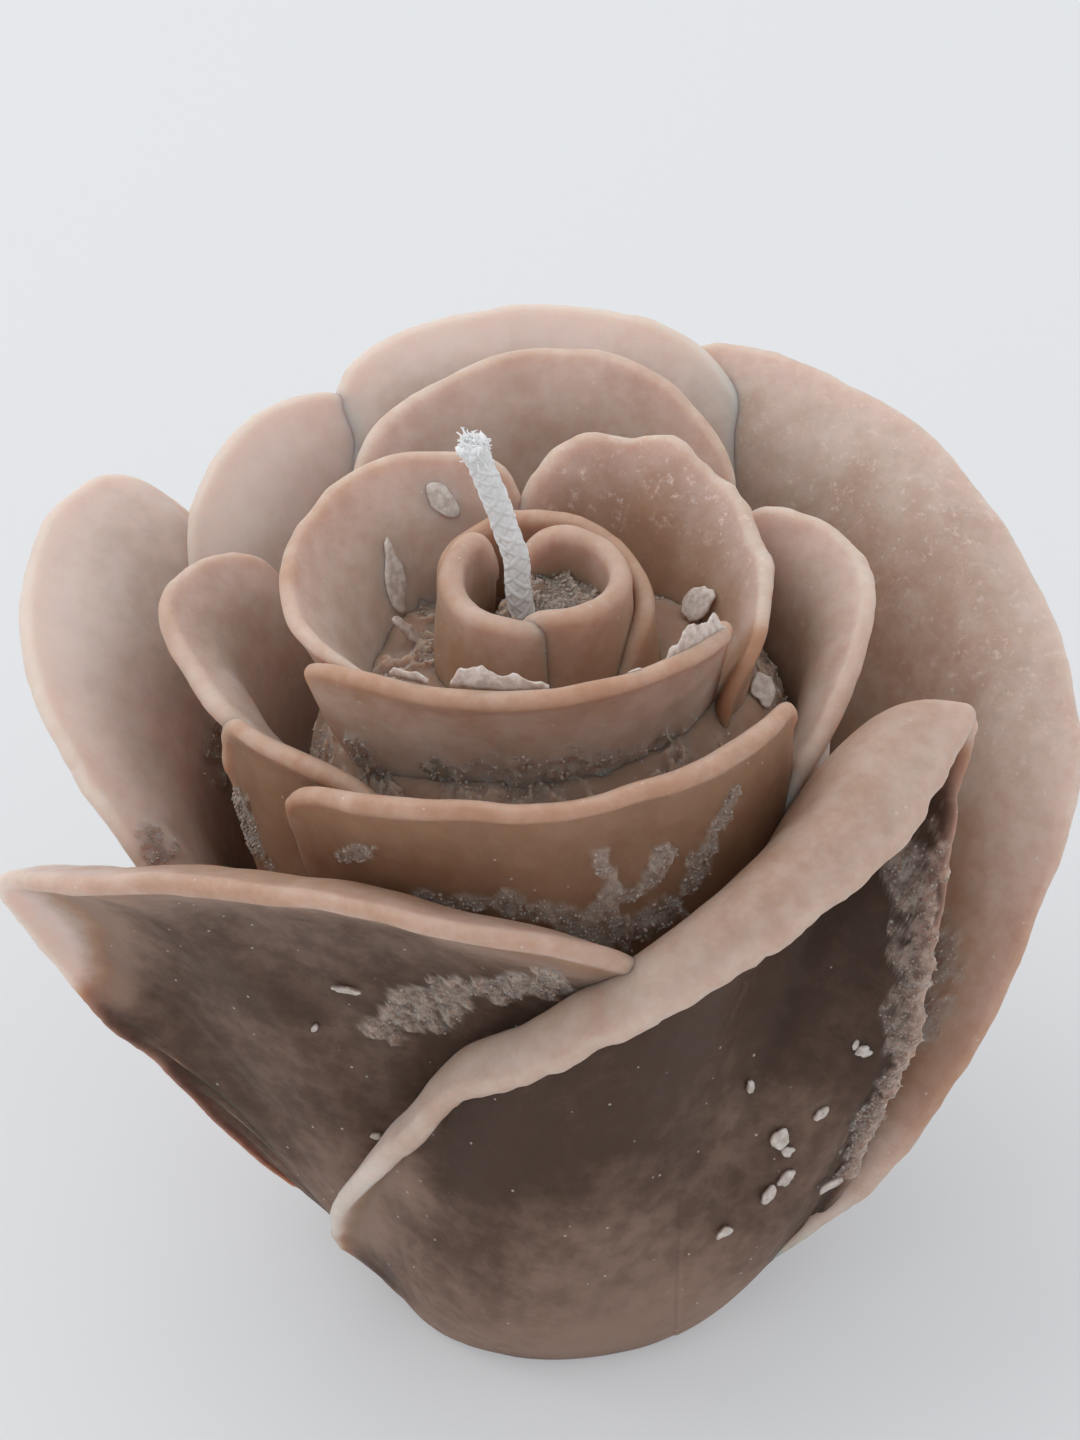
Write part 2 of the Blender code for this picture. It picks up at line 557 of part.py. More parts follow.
def outer_petals():
    """The six big petals, from the back round the left and the front to the right."""
    back = Petal(
        "outer_petal_back", OUTER_BACK_REACH, OUTER_BACK_HEIGHT_SHARE, OUTER_WALL,
        foot_headings=(60, 118), belly_rise=45, belly_share=0.35, lip_share=0.35,
        rim_shares=[
            (48, 0.72, 0.640, 62), (55, 0.83, 0.860, 56), (70, 0.945, 0.975, 45),
            (92, 1.00, 1.000, 35), (108, 0.99, 0.985, 35), (119, 0.97, 0.955, 40),
            (124, 0.90, 0.830, 50), (126, 0.77, 0.650, 60),
        ],
        **outer_foot(0),
    )
    back_left = Petal(
        "outer_petal_back_left", OUTER_BACK_LEFT_REACH, OUTER_BACK_LEFT_HEIGHT_SHARE, OUTER_WALL,
        foot_headings=(119, 149), belly_rise=45, belly_share=0.35, lip_share=0.35,
        columns=SMALL_PETAL_COLUMNS,
        rim_shares=[
            (112, 0.92, 0.795, 60), (118, 1.00, 0.970, 50), (130, 1.00, 1.000, 40),
            (142, 0.96, 0.970, 40), (148, 0.93, 0.905, 45), (153, 0.85, 0.745, 60),
        ],
        **outer_foot(1),
    )
    left = Petal(
        "outer_petal_left", OUTER_LEFT_REACH, OUTER_LEFT_HEIGHT_SHARE, OUTER_WALL,
        foot_headings=(150, 200), belly_rise=42, belly_share=0.35, lip_share=0.35,
        rim_shares=[
            (140, 0.65, 0.660, 60), (141, 0.81, 0.865, 45), (145, 0.94, 0.985, 30),
            (155, 1.00, 1.000, 25), (172, 0.95, 0.950, 25), (184, 0.87, 0.890, 30),
            (194, 0.80, 0.820, 40), (200, 0.71, 0.660, 50),
        ],
        **outer_foot(2),
    )
    front_left = Petal(
        "outer_petal_front_left", OUTER_FRONT_LEFT_REACH, OUTER_FRONT_LEFT_HEIGHT_SHARE, OUTER_WALL,
        foot_headings=(206, 268), belly_rise=(46, 82), belly_share=0.26, lip_share=0.28,
        rim_shares=[
            (199, 0.51, 0.170, 45), (195, 0.75, 0.450, 25), (192, 0.91, 0.645, 10),
            (193.5, 1.00, 0.800, 0), (204, 0.92, 0.892, 5), (218, 0.78, 0.960, 15),
            (238, 0.70, 1.000, 22), (262, 0.67, 0.993, 30), (279, 0.635, 0.924, 45),
            (288, 0.57, 0.770, 60),
        ],
        **outer_foot(1),
    )
    front_right = Petal(
        "outer_petal_front_right", OUTER_FRONT_RIGHT_REACH, OUTER_FRONT_RIGHT_HEIGHT_SHARE, OUTER_WALL,
        columns=LONG_PETAL_COLUMNS, foot_headings=(226, 328),
        belly_rise=40, belly_share=0.34, lip_share=0.26,
        rim_shares=[
            (210, 0.62, 0.085, 45), (220, 0.67, 0.228, 20), (230, 0.695, 0.350, 0),
            (243, 0.735, 0.485, -20), (255, 0.79, 0.590, -35), (268, 0.875, 0.685, -45),
            (280, 0.935, 0.780, -48), (292, 0.975, 0.860, -48), (304, 1.00, 0.923, -42),
            (318, 1.00, 0.960, -34), (332, 0.985, 0.987, -25), (344, 0.99, 1.000, -5),
            (346, 0.98, 0.930, 20), (338, 0.98, 0.830, 35), (333, 0.985, 0.700, 42),
            (331, 0.96, 0.550, 45), (331, 0.89, 0.405, 45), (330, 0.80, 0.250, 45),
            (330, 0.69, 0.120, 45),
        ],
        **outer_foot(4),
    )
    right = Petal(
        "outer_petal_right", OUTER_RIGHT_REACH, OUTER_RIGHT_HEIGHT_SHARE, OUTER_WALL,
        foot_headings=(330, 424), belly_rise=36, belly_share=0.36, lip_share=0.28,
        rim_shares=[
            (322, 0.485, 0.075, 30), (331, 0.65, 0.200, 5), (338, 0.79, 0.350, -12),
            (347, 0.90, 0.530, -20), (357, 0.98, 0.690, -22), (370, 1.00, 0.810, -18),
            (384, 0.975, 0.900, -8), (397, 0.965, 0.955, 8), (411, 0.95, 0.990, 24),
            (424, 0.955, 1.000, 38), (434, 0.975, 0.965, 48), (442, 0.97, 0.820, 55),
        ],
        **outer_foot(5),
    )
    return [back, back_left, left, front_left, front_right, right]


def tree_of(obj):
    """Search tree of an object's mesh, which tells whether two pieces touch."""
    mesh = obj.data
    points = [vertex.co[:] for vertex in mesh.vertices]
    return BVHTree.FromPolygons(points, [polygon.vertices[:] for polygon in mesh.polygons])


def assemble(petals):
    """Sets the petals on the heart, from the bud outwards. Each one is cut back where it
    would come within the clearance of the heart or of a petal that is already in place."""
    grown_heart = turned(heart_profile(CLEARANCE), HEART_SIDES)
    taken = [as_cutter(mesh_object("space_of_wax_core", grown_heart, None))]
    for petal in petals:
        material = finish(petal.name, PETAL_COLOUR, 0.5)
        obj = mesh_object(petal.name, lofted(petal_loops(petal)), material)
        own_tree = tree_of(obj)
        for cutter in taken:
            if own_tree.overlap(tree_of(cutter)):
                cut(obj, cutter)
        if petal is not petals[-1]:
            space = lofted(petal_loops(petal, CLEARANCE))
            taken.append(as_cutter(mesh_object("space_of_" + petal.name, space, None)))


def build():
    """Makes the whole candle."""
    clear_scene()
    wax_heart()
    wick()
    assemble(bud_petals() + inner_petals() + middle_petals() + outer_petals())


build()
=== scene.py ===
import itertools
import math

import bpy
import mathutils
import numpy as np
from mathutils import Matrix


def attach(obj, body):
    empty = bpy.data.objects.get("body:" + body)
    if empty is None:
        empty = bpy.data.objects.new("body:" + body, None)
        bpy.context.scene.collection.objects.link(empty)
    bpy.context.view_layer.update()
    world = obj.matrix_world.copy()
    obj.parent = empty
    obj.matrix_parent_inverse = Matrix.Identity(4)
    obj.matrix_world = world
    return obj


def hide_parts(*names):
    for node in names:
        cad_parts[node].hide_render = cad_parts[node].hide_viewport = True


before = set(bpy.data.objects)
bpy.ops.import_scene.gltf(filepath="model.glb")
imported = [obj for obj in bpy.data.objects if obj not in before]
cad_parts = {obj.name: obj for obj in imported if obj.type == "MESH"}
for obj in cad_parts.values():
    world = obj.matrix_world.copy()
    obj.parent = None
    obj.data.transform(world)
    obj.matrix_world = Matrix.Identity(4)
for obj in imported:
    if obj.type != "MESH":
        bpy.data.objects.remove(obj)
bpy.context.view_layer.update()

# Wax heart: the solid middle of the candle, poured in one go. It has a flat base to
# stand on. Its dome shows at the bottom of the grooves between the petals, and its plug
# inside the bud, where the wick comes out.

# Lengths are in mm, and MM makes metres of them.
MM = 0.001
TWIST = np.array(mathutils.Euler((0.7, 0.5, 1.1)).to_matrix())


def cloudy(points, size, seed):
    """Smooth noise from -1 to 1: a hashed value at each corner of a cubic lattice of the given
    size, blended along each axis with the weight 3t^2 - 2t^3."""
    place = np.asarray(points) / size
    corner = np.floor(place).astype(np.int64)
    t = place - corner
    t = t * t * (3 - 2 * t)
    total = np.zeros(place.shape[:-1])
    for step in itertools.product((0, 1), repeat=3):
        x, y, z = np.moveaxis(corner + step, -1, 0)
        value = (x * 73856093) ^ (y * 19349663) ^ (z * 83492791) ^ (seed * 26544357)
        value = (value ^ (value >> 13)) * 1274126177
        value = ((value ^ (value >> 16)) & 0xFFFF) / 32767.5 - 1
        weight = np.prod(np.where(np.array(step) == 1, t, 1 - t), axis=-1)
        total += value * weight
    return total


def lumpy(points, size, octaves, seed):
    """Sum of cloudy noises, each half the size and half the height of the one before, with
    its lattice turned against the last one, so that no grid shows."""
    total, points = 0, np.asarray(points)
    for k in range(octaves):
        points = points @ TWIST
        total = total + cloudy(points, size / 2**k, seed + k) / 2**k
    return total


def webby(points, size, seed):
    """Noise from 0 to 1 that peaks along thin winding ridges, 1 - |noise|, sharpened by a
    cube and broken by a coarser noise."""
    ridge = (1 - 1.4 * np.abs(lumpy(points, size, 3, seed))).clip(0, 1) ** 3
    return ridge * (0.65 + 0.35 * cloudy(points, 2.5 * size, seed + 9))


def eased(share):
    """Share clipped to 0 and 1, with a soft start and end: 3t^2 - 2t^3."""
    t = np.clip(share, 0, 1)
    return t * t * (3 - 2 * t)


def shell(name, loops, attributes, turned=False):
    """Closed skin over rows of closed loops, shape (rows, points, 3). A turned skin joins its
    last row to its first. Otherwise each end loop is closed like a ladder. Each attribute
    is one number for each point."""
    rows, count = loops.shape[:2]
    index = np.arange(rows * count).reshape(rows, count)
    near, far = (index, np.roll(index, -1, 0)) if turned else (index[:-1], index[1:])
    quads = np.stack([near, np.roll(near, -1, 1), np.roll(far, -1, 1), far], -1).reshape(-1, 4)
    if not turned:
        rung = np.arange(count // 2)
        ladder = np.stack([rung, -rung - 1, -rung - 2, rung + 1], -1)[:-1]
        quads = np.concatenate([quads, index[0][ladder], index[-1][ladder[:, ::-1]]])
    mesh = bpy.data.meshes.new(name)
    mesh.from_pydata(loops.reshape(-1, 3), [], quads)
    for key, values in attributes.items():
        layer = mesh.attributes.new(key, "FLOAT", "POINT")
        layer.data.foreach_set("value", np.ascontiguousarray(values, np.float32).ravel())
    mesh.validate()
    mesh.shade_smooth()
    piece = bpy.data.objects.new(name, mesh)
    bpy.context.scene.collection.objects.link(piece)
    return piece


def wax(name, shade, deep, body, pale, crumb):
    """Waxy material. The colour runs by its paleness attribute from shade through deep to body
    and pale: painted shade in the folds and on the undersides, and pale at the rims, partly
    from thin translucent wax and partly painted light. Where the attribute under is high it
    takes a dusty colour instead, painted dark as shade under the rims, and is less glossy,
    and where torn is high it turns to crumb. It is clouded, with fine bright specks, and
    frosted by the attribute frost."""
    material = bpy.data.materials.new(name)
    material.use_nodes = True
    nodes, links = material.node_tree.nodes, material.node_tree.links
    shader = nodes["Principled BSDF"]
    place = nodes.new("ShaderNodeTexCoord").outputs["Object"]

    def attribute(key):
        node = nodes.new("ShaderNodeAttribute")
        node.attribute_name = key
        return node.outputs["Fac"]

    def noise(scale, detail, roughness):
        node = nodes.new("ShaderNodeTexNoise")
        node.inputs["Scale"].default_value = scale
        node.inputs["Detail"].default_value = detail
        node.inputs["Roughness"].default_value = roughness
        links.new(place, node.inputs["Vector"])
        return node.outputs["Fac"]

    def spread(value, low, high, to_low=0.0, to_high=1.0):
        node = nodes.new("ShaderNodeMapRange")
        node.interpolation_type = "SMOOTHSTEP"
        links.new(value, node.inputs["Value"])
        for key, number in zip(("From Min", "From Max", "To Min", "To Max"), (low, high, to_low, to_high)):
            node.inputs[key].default_value = number
        return node.outputs["Result"]

    def reckon(operation, a, b):
        node = nodes.new("ShaderNodeMath")
        node.operation = operation
        for socket, value in zip(node.inputs, (a, b)):
            if isinstance(value, float):
                socket.default_value = value
            else:
                links.new(value, socket)
        return node.outputs[0]

    def blend(share, first, second):
        node = nodes.new("ShaderNodeMix")
        node.data_type = "RGBA"
        links.new(share, node.inputs["Factor"])
        for key, colour in (("A", first), ("B", second)):
            socket = next(s for s in node.inputs if s.name == key and s.type == "RGBA")
            if isinstance(colour, tuple):
                socket.default_value = (*colour, 1)
            else:
                links.new(colour, socket)
        return next(s for s in node.outputs if s.type == "RGBA")

    def specks(scale, size, rarity):
        node = nodes.new("ShaderNodeTexVoronoi")
        node.inputs["Scale"].default_value = scale
        links.new(place, node.inputs["Vector"])
        near = spread(node.outputs["Distance"], size, 0.5 * size)
        return reckon("MULTIPLY", near, spread(node.outputs["Color"], rarity, rarity + 0.02))

    thin_and_shading = reckon("ADD", attribute("thin_and_shading"), spread(noise(70, 3, 0.55), 0.3, 0.7, -0.05, 0.05))
    thin_and_shading = reckon("ADD", thin_and_shading, spread(noise(420, 4, 0.65), 0.3, 0.7, -0.04, 0.04))
    # Painted shade and light: a low paleness gives the dark shade and deep colours of folds and undersides,
    # a high one the pale rims, partly thin translucent wax and partly painted light.
    colour = blend(spread(thin_and_shading, 0.0, 0.3), shade, deep)
    colour = blend(spread(thin_and_shading, 0.2, 0.6), colour, body)
    colour = blend(spread(thin_and_shading, 0.5, 1.0), colour, pale)
    cloud = reckon("MULTIPLY", spread(noise(190, 7, 0.8), 0.55, 0.70), 0.12)
    colour = blend(cloud, colour, (0.50, 0.42, 0.38))
    # Undersides take a dusty colour that is painted shade under the rims and lighter toward the foot.
    dusty_shade_colour = blend(spread(thin_and_shading, -0.02, 0.34), (0.093, 0.057, 0.042), (0.330, 0.217, 0.168))
    colour = blend(reckon("MULTIPLY", attribute("under"), spread(thin_and_shading, 0.36, 0.6, 1.0, 0.0)), colour, dusty_shade_colour)
    frost = reckon("MULTIPLY", spread(noise(900, 6, 0.8), 0.54, 0.66), attribute("frost"))
    colour = blend(frost, colour, (0.72, 0.62, 0.56))
    torn = attribute("torn")
    crust = reckon("MULTIPLY", torn, spread(noise(800, 5, 0.75), 0.38, 0.62, 0.40, 1.0))
    colour = blend(crust, colour, crumb)
    dots = reckon("MAXIMUM", specks(620, 0.11, 0.62), specks(260, 0.055, 0.55))
    colour = blend(reckon("MULTIPLY", dots, 0.75), colour, (0.62, 0.56, 0.52))
    links.new(colour, shader.inputs["Base Color"])
    gloss = spread(noise(300, 4, 0.6), 0.3, 0.7, 0.34, 0.52)
    links.new(reckon("ADD", gloss, reckon("MULTIPLY", torn, 0.25)), shader.inputs["Roughness"])
    links.new(spread(attribute("under"), 0.0, 1.0, 0.36, 0.10), shader.inputs["Specular IOR Level"])
    shader.inputs["IOR"].default_value = 1.44
    shader.inputs["Subsurface Weight"].default_value = 1.0
    shader.inputs["Subsurface Radius"].default_value = (1.0, 0.55, 0.40)
    shader.inputs["Subsurface Scale"].default_value = 4.5 * MM

    fine = nodes.new("ShaderNodeBump")
    fine.inputs["Strength"].default_value = 0.5
    fine.inputs["Distance"].default_value = 0.10 * MM
    links.new(noise(1400, 5, 0.7), fine.inputs["Height"])
    rough = nodes.new("ShaderNodeBump")
    rough.inputs["Distance"].default_value = 0.5 * MM
    links.new(torn, rough.inputs["Strength"])
    links.new(noise(1100, 6, 0.75), rough.inputs["Height"])
    links.new(fine.outputs["Normal"], rough.inputs["Normal"])
    links.new(rough.outputs["Normal"], shader.inputs["Normal"])
    return material


# Petal colours: shade and deep are painted shade in folds and on undersides; pale is the rims' colour,
# partly painted light.
petal_wax = wax(
    "petal_wax", shade=(0.080, 0.050, 0.038), deep=(0.240, 0.123, 0.070), body=(0.395, 0.241, 0.157),
    pale=(0.70, 0.605, 0.55), crumb=(0.50, 0.40, 0.345),
)
heart_wax = wax(
    "heart_wax", shade=(0.080, 0.050, 0.038), deep=(0.22, 0.118, 0.072), body=(0.36, 0.222, 0.155),
    pale=(0.50, 0.38, 0.33), crumb=(0.46, 0.355, 0.295),
)

BASE_RADIUS = 20.2
BASE_EDGE = 0.8
WAIST_HEIGHT = 32.0
WAIST_RADIUS = 24.1
FULLNESS = 0.6
SEAT_RADIUS = 11.5
SEAT_HEIGHT = 69.0
PLUG_RADIUS = 5.3
PLUG_HEIGHT = 74.8
PLUG_EDGE = 1.2
DOME_START = 50
DOME_FADE = 12
LUMP_HEIGHT = 0.50
LUMP_SIZE = 5
CRUST_HEIGHT = 2.1
CRUST_SIZE = 2.4
HEART_ROWS = 270
HEART_SIDES = 360


def along(rows, share):
    """Catmull-Rom curve through the rows of a table, at each share along it from 0 to 1."""
    rows = np.asarray(rows, float)
    ends = np.vstack([2 * rows[0] - rows[1], rows, 2 * rows[-1] - rows[-2]])
    place = np.clip(share, 0, 1) * (len(rows) - 1)
    first = np.minimum(place.astype(int), len(rows) - 2)
    t = (place - first)[:, None]
    a, b, c, d = (ends[first + k] for k in range(4))
    bend, twist = 2 * a - 5 * b + 4 * c - d, 3 * b - a - 3 * c + d
    return 0.5 * (2 * b + (c - a) * t + bend * t**2 + twist * t**3)


def heart_outline():
    """Outline in mm from the middle of the base to the middle of the plug, evenly spaced: a
    flat disc, a quarter ellipse out to the waist, a quarter of the fuller curve
    |x|^(10/3) + |z|^(10/3) = 1 up to the bud's seat, and the plug with a round edge."""
    a = np.linspace(0, math.pi / 2, 60)
    sine, cosine = np.sin(a), np.cos(a).clip(0)
    side = np.stack([
        BASE_RADIUS + (WAIST_RADIUS - BASE_RADIUS) * (1 - cosine),
        BASE_EDGE + (WAIST_HEIGHT - BASE_EDGE) * sine,
    ], -1)
    dome = np.stack([
        SEAT_RADIUS + (WAIST_RADIUS - SEAT_RADIUS) * cosine**FULLNESS,
        WAIST_HEIGHT + (SEAT_HEIGHT - WAIST_HEIGHT) * sine**FULLNESS,
    ], -1)
    edge = np.stack([
        PLUG_RADIUS - PLUG_EDGE + PLUG_EDGE * cosine,
        PLUG_HEIGHT - PLUG_EDGE + PLUG_EDGE * sine,
    ], -1)
    base = [(0, 0), (BASE_RADIUS - BASE_EDGE, 0)]
    outline = np.concatenate([base, side, dome, [(PLUG_RADIUS, SEAT_HEIGHT)], edge, [(0, PLUG_HEIGHT)]])
    run = np.concatenate([[0], np.linalg.norm(np.diff(outline, axis=0), axis=1).cumsum()])
    even = np.linspace(0, run[-1], HEART_ROWS)
    return np.stack([np.interp(even, run, outline[:, k]) for k in range(2)], -1)


def pour_heart():
    """Outline turned round the axis, then moved up and down by lumps near its top. The plug's
    top is crusted, and so are patches round the bud, most of all at the front. Gives the
    points, how near the top they are and how crusted."""
    radius, height = heart_outline().T
    turn = np.linspace(0, math.tau, HEART_SIDES, endpoint=False)[:, None]
    points = np.stack([radius * np.cos(turn), -radius * np.sin(turn), height + 0 * turn], -1)
    top = eased((points[..., 2] - DOME_START) / DOME_FADE)
    front = eased((-points[..., 1] - 8) / 5)
    ring = eased((radius - 8.5) / 2) * eased(1.2 * lumpy(points, 5, 3, 15) + 0.25 + 0.8 * front)
    crust = np.maximum(eased((8 - radius) / 3), ring) * top
    rise = LUMP_HEIGHT * lumpy(points, LUMP_SIZE, 3, 5)
    rise = rise + crust * (CRUST_HEIGHT * webby(points, CRUST_SIZE, 3) - 0.3)
    points[..., 2] += top * rise * eased(radius / 2)
    return points, top, crust


heart_points, heart_top, heart_crust = pour_heart()
heart_look = {"thin_and_shading": 0.50 + 0 * heart_top, "torn": 0.1 * heart_top + 0.8 * heart_crust}
heart = shell("heart", heart_points * MM, heart_look, turned=True)
heart.data.materials.append(heart_wax)
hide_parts("wax_core")
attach(heart, "root")

# Wick: eight cotton strands plaited round each other, primed with wax so that they stand
# by themselves. It was threaded through the mould before the pour. Its cut end is frayed
# into a tuft of loose fibres.


def unit(vectors):
    """Vectors brought to length one."""
    return vectors / np.linalg.norm(vectors, axis=-1, keepdims=True)


def tubes(paths, radii, sides):
    """Points of one tube round each path, shape (paths, steps, sides, 3), by circles of the
    given radii square to the path: p + r (cos a * n + sin a * t x n)."""
    tangent = unit(np.gradient(paths, axis=1))
    across = unit(np.cross(tangent, np.array([0.31, 0.87, 0.38])))
    other = np.cross(tangent, across)
    a = np.linspace(0, math.tau, sides, endpoint=False)[:, None]
    circle = np.cos(a) * across[:, :, None] + np.sin(a) * other[:, :, None]
    return paths[:, :, None] + circle * radii[:, :, None, None]


def tube_mesh(name, groups):
    """One mesh of many closed tubes. Each group is an array of tube points, and each tube
    ends in one flat face at both ends."""
    points, faces, start = [], [], 0
    for tube in groups:
        count, steps, sides = tube.shape[:3]
        index = np.arange(count * steps * sides).reshape(count, steps, sides) + start
        near, far = index[:, :-1], index[:, 1:]
        quads = np.stack([near, np.roll(near, -1, 2), np.roll(far, -1, 2), far], -1)
        faces += quads.reshape(-1, 4).tolist()
        faces += index[:, 0, ::-1].tolist() + index[:, -1].tolist()
        points.append(tube.reshape(-1, 3))
        start += count * steps * sides
    mesh = bpy.data.meshes.new(name)
    mesh.from_pydata(np.concatenate(points), [], faces)
    mesh.shade_smooth()
    piece = bpy.data.objects.new(name, mesh)
    bpy.context.scene.collection.objects.link(piece)
    return piece


WICK_PATH = [
    (-3.0, -0.8, 70.0), (-3.0, -0.8, 74.0), (-3.4, -0.8, 77.5), (-3.6, -0.9, 81.0), (-4.6, -1.0, 84.5),
    (-5.6, -1.1, 88.0), (-6.6, -1.2, 91.0), (-7.5, -1.4, 93.6),
]
STRAND_RADIUS = 0.38
STRAND_REACH = 0.84
STRAND_WINDING = 24
CORE_RADIUS = 1.13
HAIRS = 170
TIP_HAIRS = 150
HAIR_START = 0.75


def plait():
    """Eight strands wind round the wick's path, four each way, and weave in and out. Near
    the top they open, and loose fibres curl off the tip and a few off the side."""
    rng = np.random.default_rng(8)
    share = np.linspace(0, 1, 240)
    core = along(WICK_PATH, share) * MM
    tangent = unit(np.gradient(core, axis=0))
    across = unit(np.cross(tangent, [0, 1.0, 0]))
    other = np.cross(tangent, across)
    strand = np.arange(8)[:, None]
    way = np.where(strand % 2 == 0, 1, -1)
    angle = way * share * STRAND_WINDING + strand // 2 * (math.tau / 4) + 0.4
    opening = 1 + 0.35 * eased((share - 0.92) / 0.08)
    reach = (STRAND_REACH + 0.04 * np.cos(2 * angle * way + strand)) * opening * MM
    paths = core + reach[..., None] * (np.cos(angle)[..., None] * across + np.sin(angle)[..., None] * other)
    thick = (STRAND_RADIUS + 0.02 * np.cos(9 * share + strand)) * MM + 0 * share
    strands = tubes(paths, thick, 10)
    middle = tubes(core[None], np.full((1, len(share)), CORE_RADIUS * MM), 16)

    at_tip = np.arange(HAIRS) < TIP_HAIRS
    start = np.where(at_tip, rng.uniform(0.94, 1.0, HAIRS), rng.uniform(0.35, 0.95, HAIRS))
    root = along(WICK_PATH, start) * MM
    aim = unit(rng.normal(size=(HAIRS, 3)) + (0, 0, 0.25))
    curl = unit(rng.normal(size=(HAIRS, 3)))
    length = rng.uniform(0.45, 1.0, HAIRS) * MM
    t = np.linspace(0, 1, 12)[None, :, None]
    bend = np.sin(t * 2.6) * 0.55 * curl[:, None]
    hairs = root[:, None] + HAIR_START * MM * aim[:, None]
    hairs = hairs + length[:, None, None] * (t * aim[:, None] + bend)
    width = np.where(start > 0.93, 0.12, 0.04)[:, None] * MM * (1 - 0.6 * t[0, :, 0])[None]
    return [strands, middle, tubes(hairs, width, 5)]


def cotton():
    """White cotton with fine fibre bumps, yellowed a little by the wax near its root."""
    material = bpy.data.materials.new("cotton")
    material.use_nodes = True
    nodes, links = material.node_tree.nodes, material.node_tree.links
    shader = nodes["Principled BSDF"]
    place = nodes.new("ShaderNodeTexCoord").outputs["Object"]
    height = nodes.new("ShaderNodeSeparateXYZ")
    links.new(place, height.inputs[0])
    waxed = nodes.new("ShaderNodeMapRange")
    waxed.inputs["From Min"].default_value = 74 * MM
    waxed.inputs["From Max"].default_value = 84 * MM
    links.new(height.outputs["Z"], waxed.inputs["Value"])
    ramp = nodes.new("ShaderNodeValToRGB")
    ramp.color_ramp.elements[0].color = (0.78, 0.76, 0.74, 1)
    ramp.color_ramp.elements[1].color = (0.97, 0.97, 0.97, 1)
    links.new(waxed.outputs["Result"], ramp.inputs["Fac"])
    links.new(ramp.outputs["Color"], shader.inputs["Base Color"])
    fibre = nodes.new("ShaderNodeTexNoise")
    fibre.inputs["Scale"].default_value = 3000
    fibre.inputs["Detail"].default_value = 3
    links.new(place, fibre.inputs["Vector"])
    bump = nodes.new("ShaderNodeBump")
    bump.inputs["Strength"].default_value = 0.6
    bump.inputs["Distance"].default_value = 0.06 * MM
    links.new(fibre.outputs["Fac"], bump.inputs["Height"])
    links.new(bump.outputs["Normal"], shader.inputs["Normal"])
    shader.inputs["Roughness"].default_value = 0.85
    shader.inputs["Subsurface Weight"].default_value = 0.3
    shader.inputs["Subsurface Radius"].default_value = (1.0, 0.95, 0.9)
    shader.inputs["Subsurface Scale"].default_value = 0.6 * MM
    return material


wick = tube_mesh("plaited_wick", plait())
wick.data.materials.append(cotton())
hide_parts("wick")
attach(wick, "root")

# Bud: three upright walls of wax that curl round the wick, cast with the rest in the
# mould. They are thick, with soft rims.

RIM_POINTS = 11
RIM_FADE = 3.5
SWELL_HEIGHT = 0.25
SWELL_SIZE = 13
DIMPLE_HEIGHT = 0.06
DIMPLE_SIZE = 4
WEB_HEIGHT = 0.55
WEB_SIZE = 1.7
CRUMB_HEIGHT = 0.20
CRUMB_SIZE = 0.8
SEAM_STEP = 0.14


def level(heading, radius, height):
    """Points at headings in radians, radii and heights round the vertical axis."""
    return np.stack([radius * np.cos(heading), radius * np.sin(heading), height + 0 * heading], -1)


def pointing(heading, rise):
    """Unit vectors that point along a heading and rise from the horizontal, in radians."""
    flat = np.cos(rise)
    return np.stack([flat * np.cos(heading), flat * np.sin(heading), np.sin(rise)], -1)


def petal_sheet(reach, height, foot, belly, lip_share, rim_shares, middle, waver, seed, columns, rows):
    """Middle sheet of a petal, with each column's share of the way across and each point's
    distance below the rim. A column is a Bezier curve from the foot (radius, height, first
    and last heading), which it leaves at the belly's rise, to the rim, which it meets at the
    rim's flare. Columns lie closer near both ends. The rim wavers by noise."""
    even = np.linspace(0, 1, columns)
    across = 0.45 * even + 0.55 * (0.5 - 0.5 * np.cos(math.pi * even))
    heading, far, high, flare = along(rim_shares, across).T
    heading, flare = np.radians(heading), np.radians(flare)
    rim = level(heading, far * reach, high * height)
    wobble = [cloudy(rim, 9, seed + k) + 0.4 * cloudy(rim, 3.5, seed + 7 + k) for k in range(3)]
    rim = rim + waver * np.stack(wobble, -1) + (*middle, 0)
    foot_radius, foot_height, first, last = foot
    foot_heading = np.radians(first + (last - first) * across)
    base = level(foot_heading, foot_radius, foot_height) + (*middle, 0)
    chord = np.linalg.norm(rim - base, axis=1)[:, None]
    rises = np.radians(np.broadcast_to(belly[0], 2))
    low = base + belly[1] * chord * pointing(foot_heading, rises[0] + (rises[1] - rises[0]) * across)
    top = rim - lip_share * chord * pointing(heading, flare)
    v = np.linspace(0, 1, rows)[None, :, None]
    base, low, top, rim = (points[:, None] for points in (base, low, top, rim))
    sheet = base * (1 - v) ** 3 + 3 * low * v * (1 - v) ** 2 + 3 * top * v**2 * (1 - v) + rim * v**3
    run = np.linalg.norm(np.diff(sheet, axis=1), axis=-1)[:, ::-1].cumsum(axis=1)[:, ::-1]
    below = np.concatenate([run, 0 * run[:, :1]], axis=1)
    return across, sheet, below


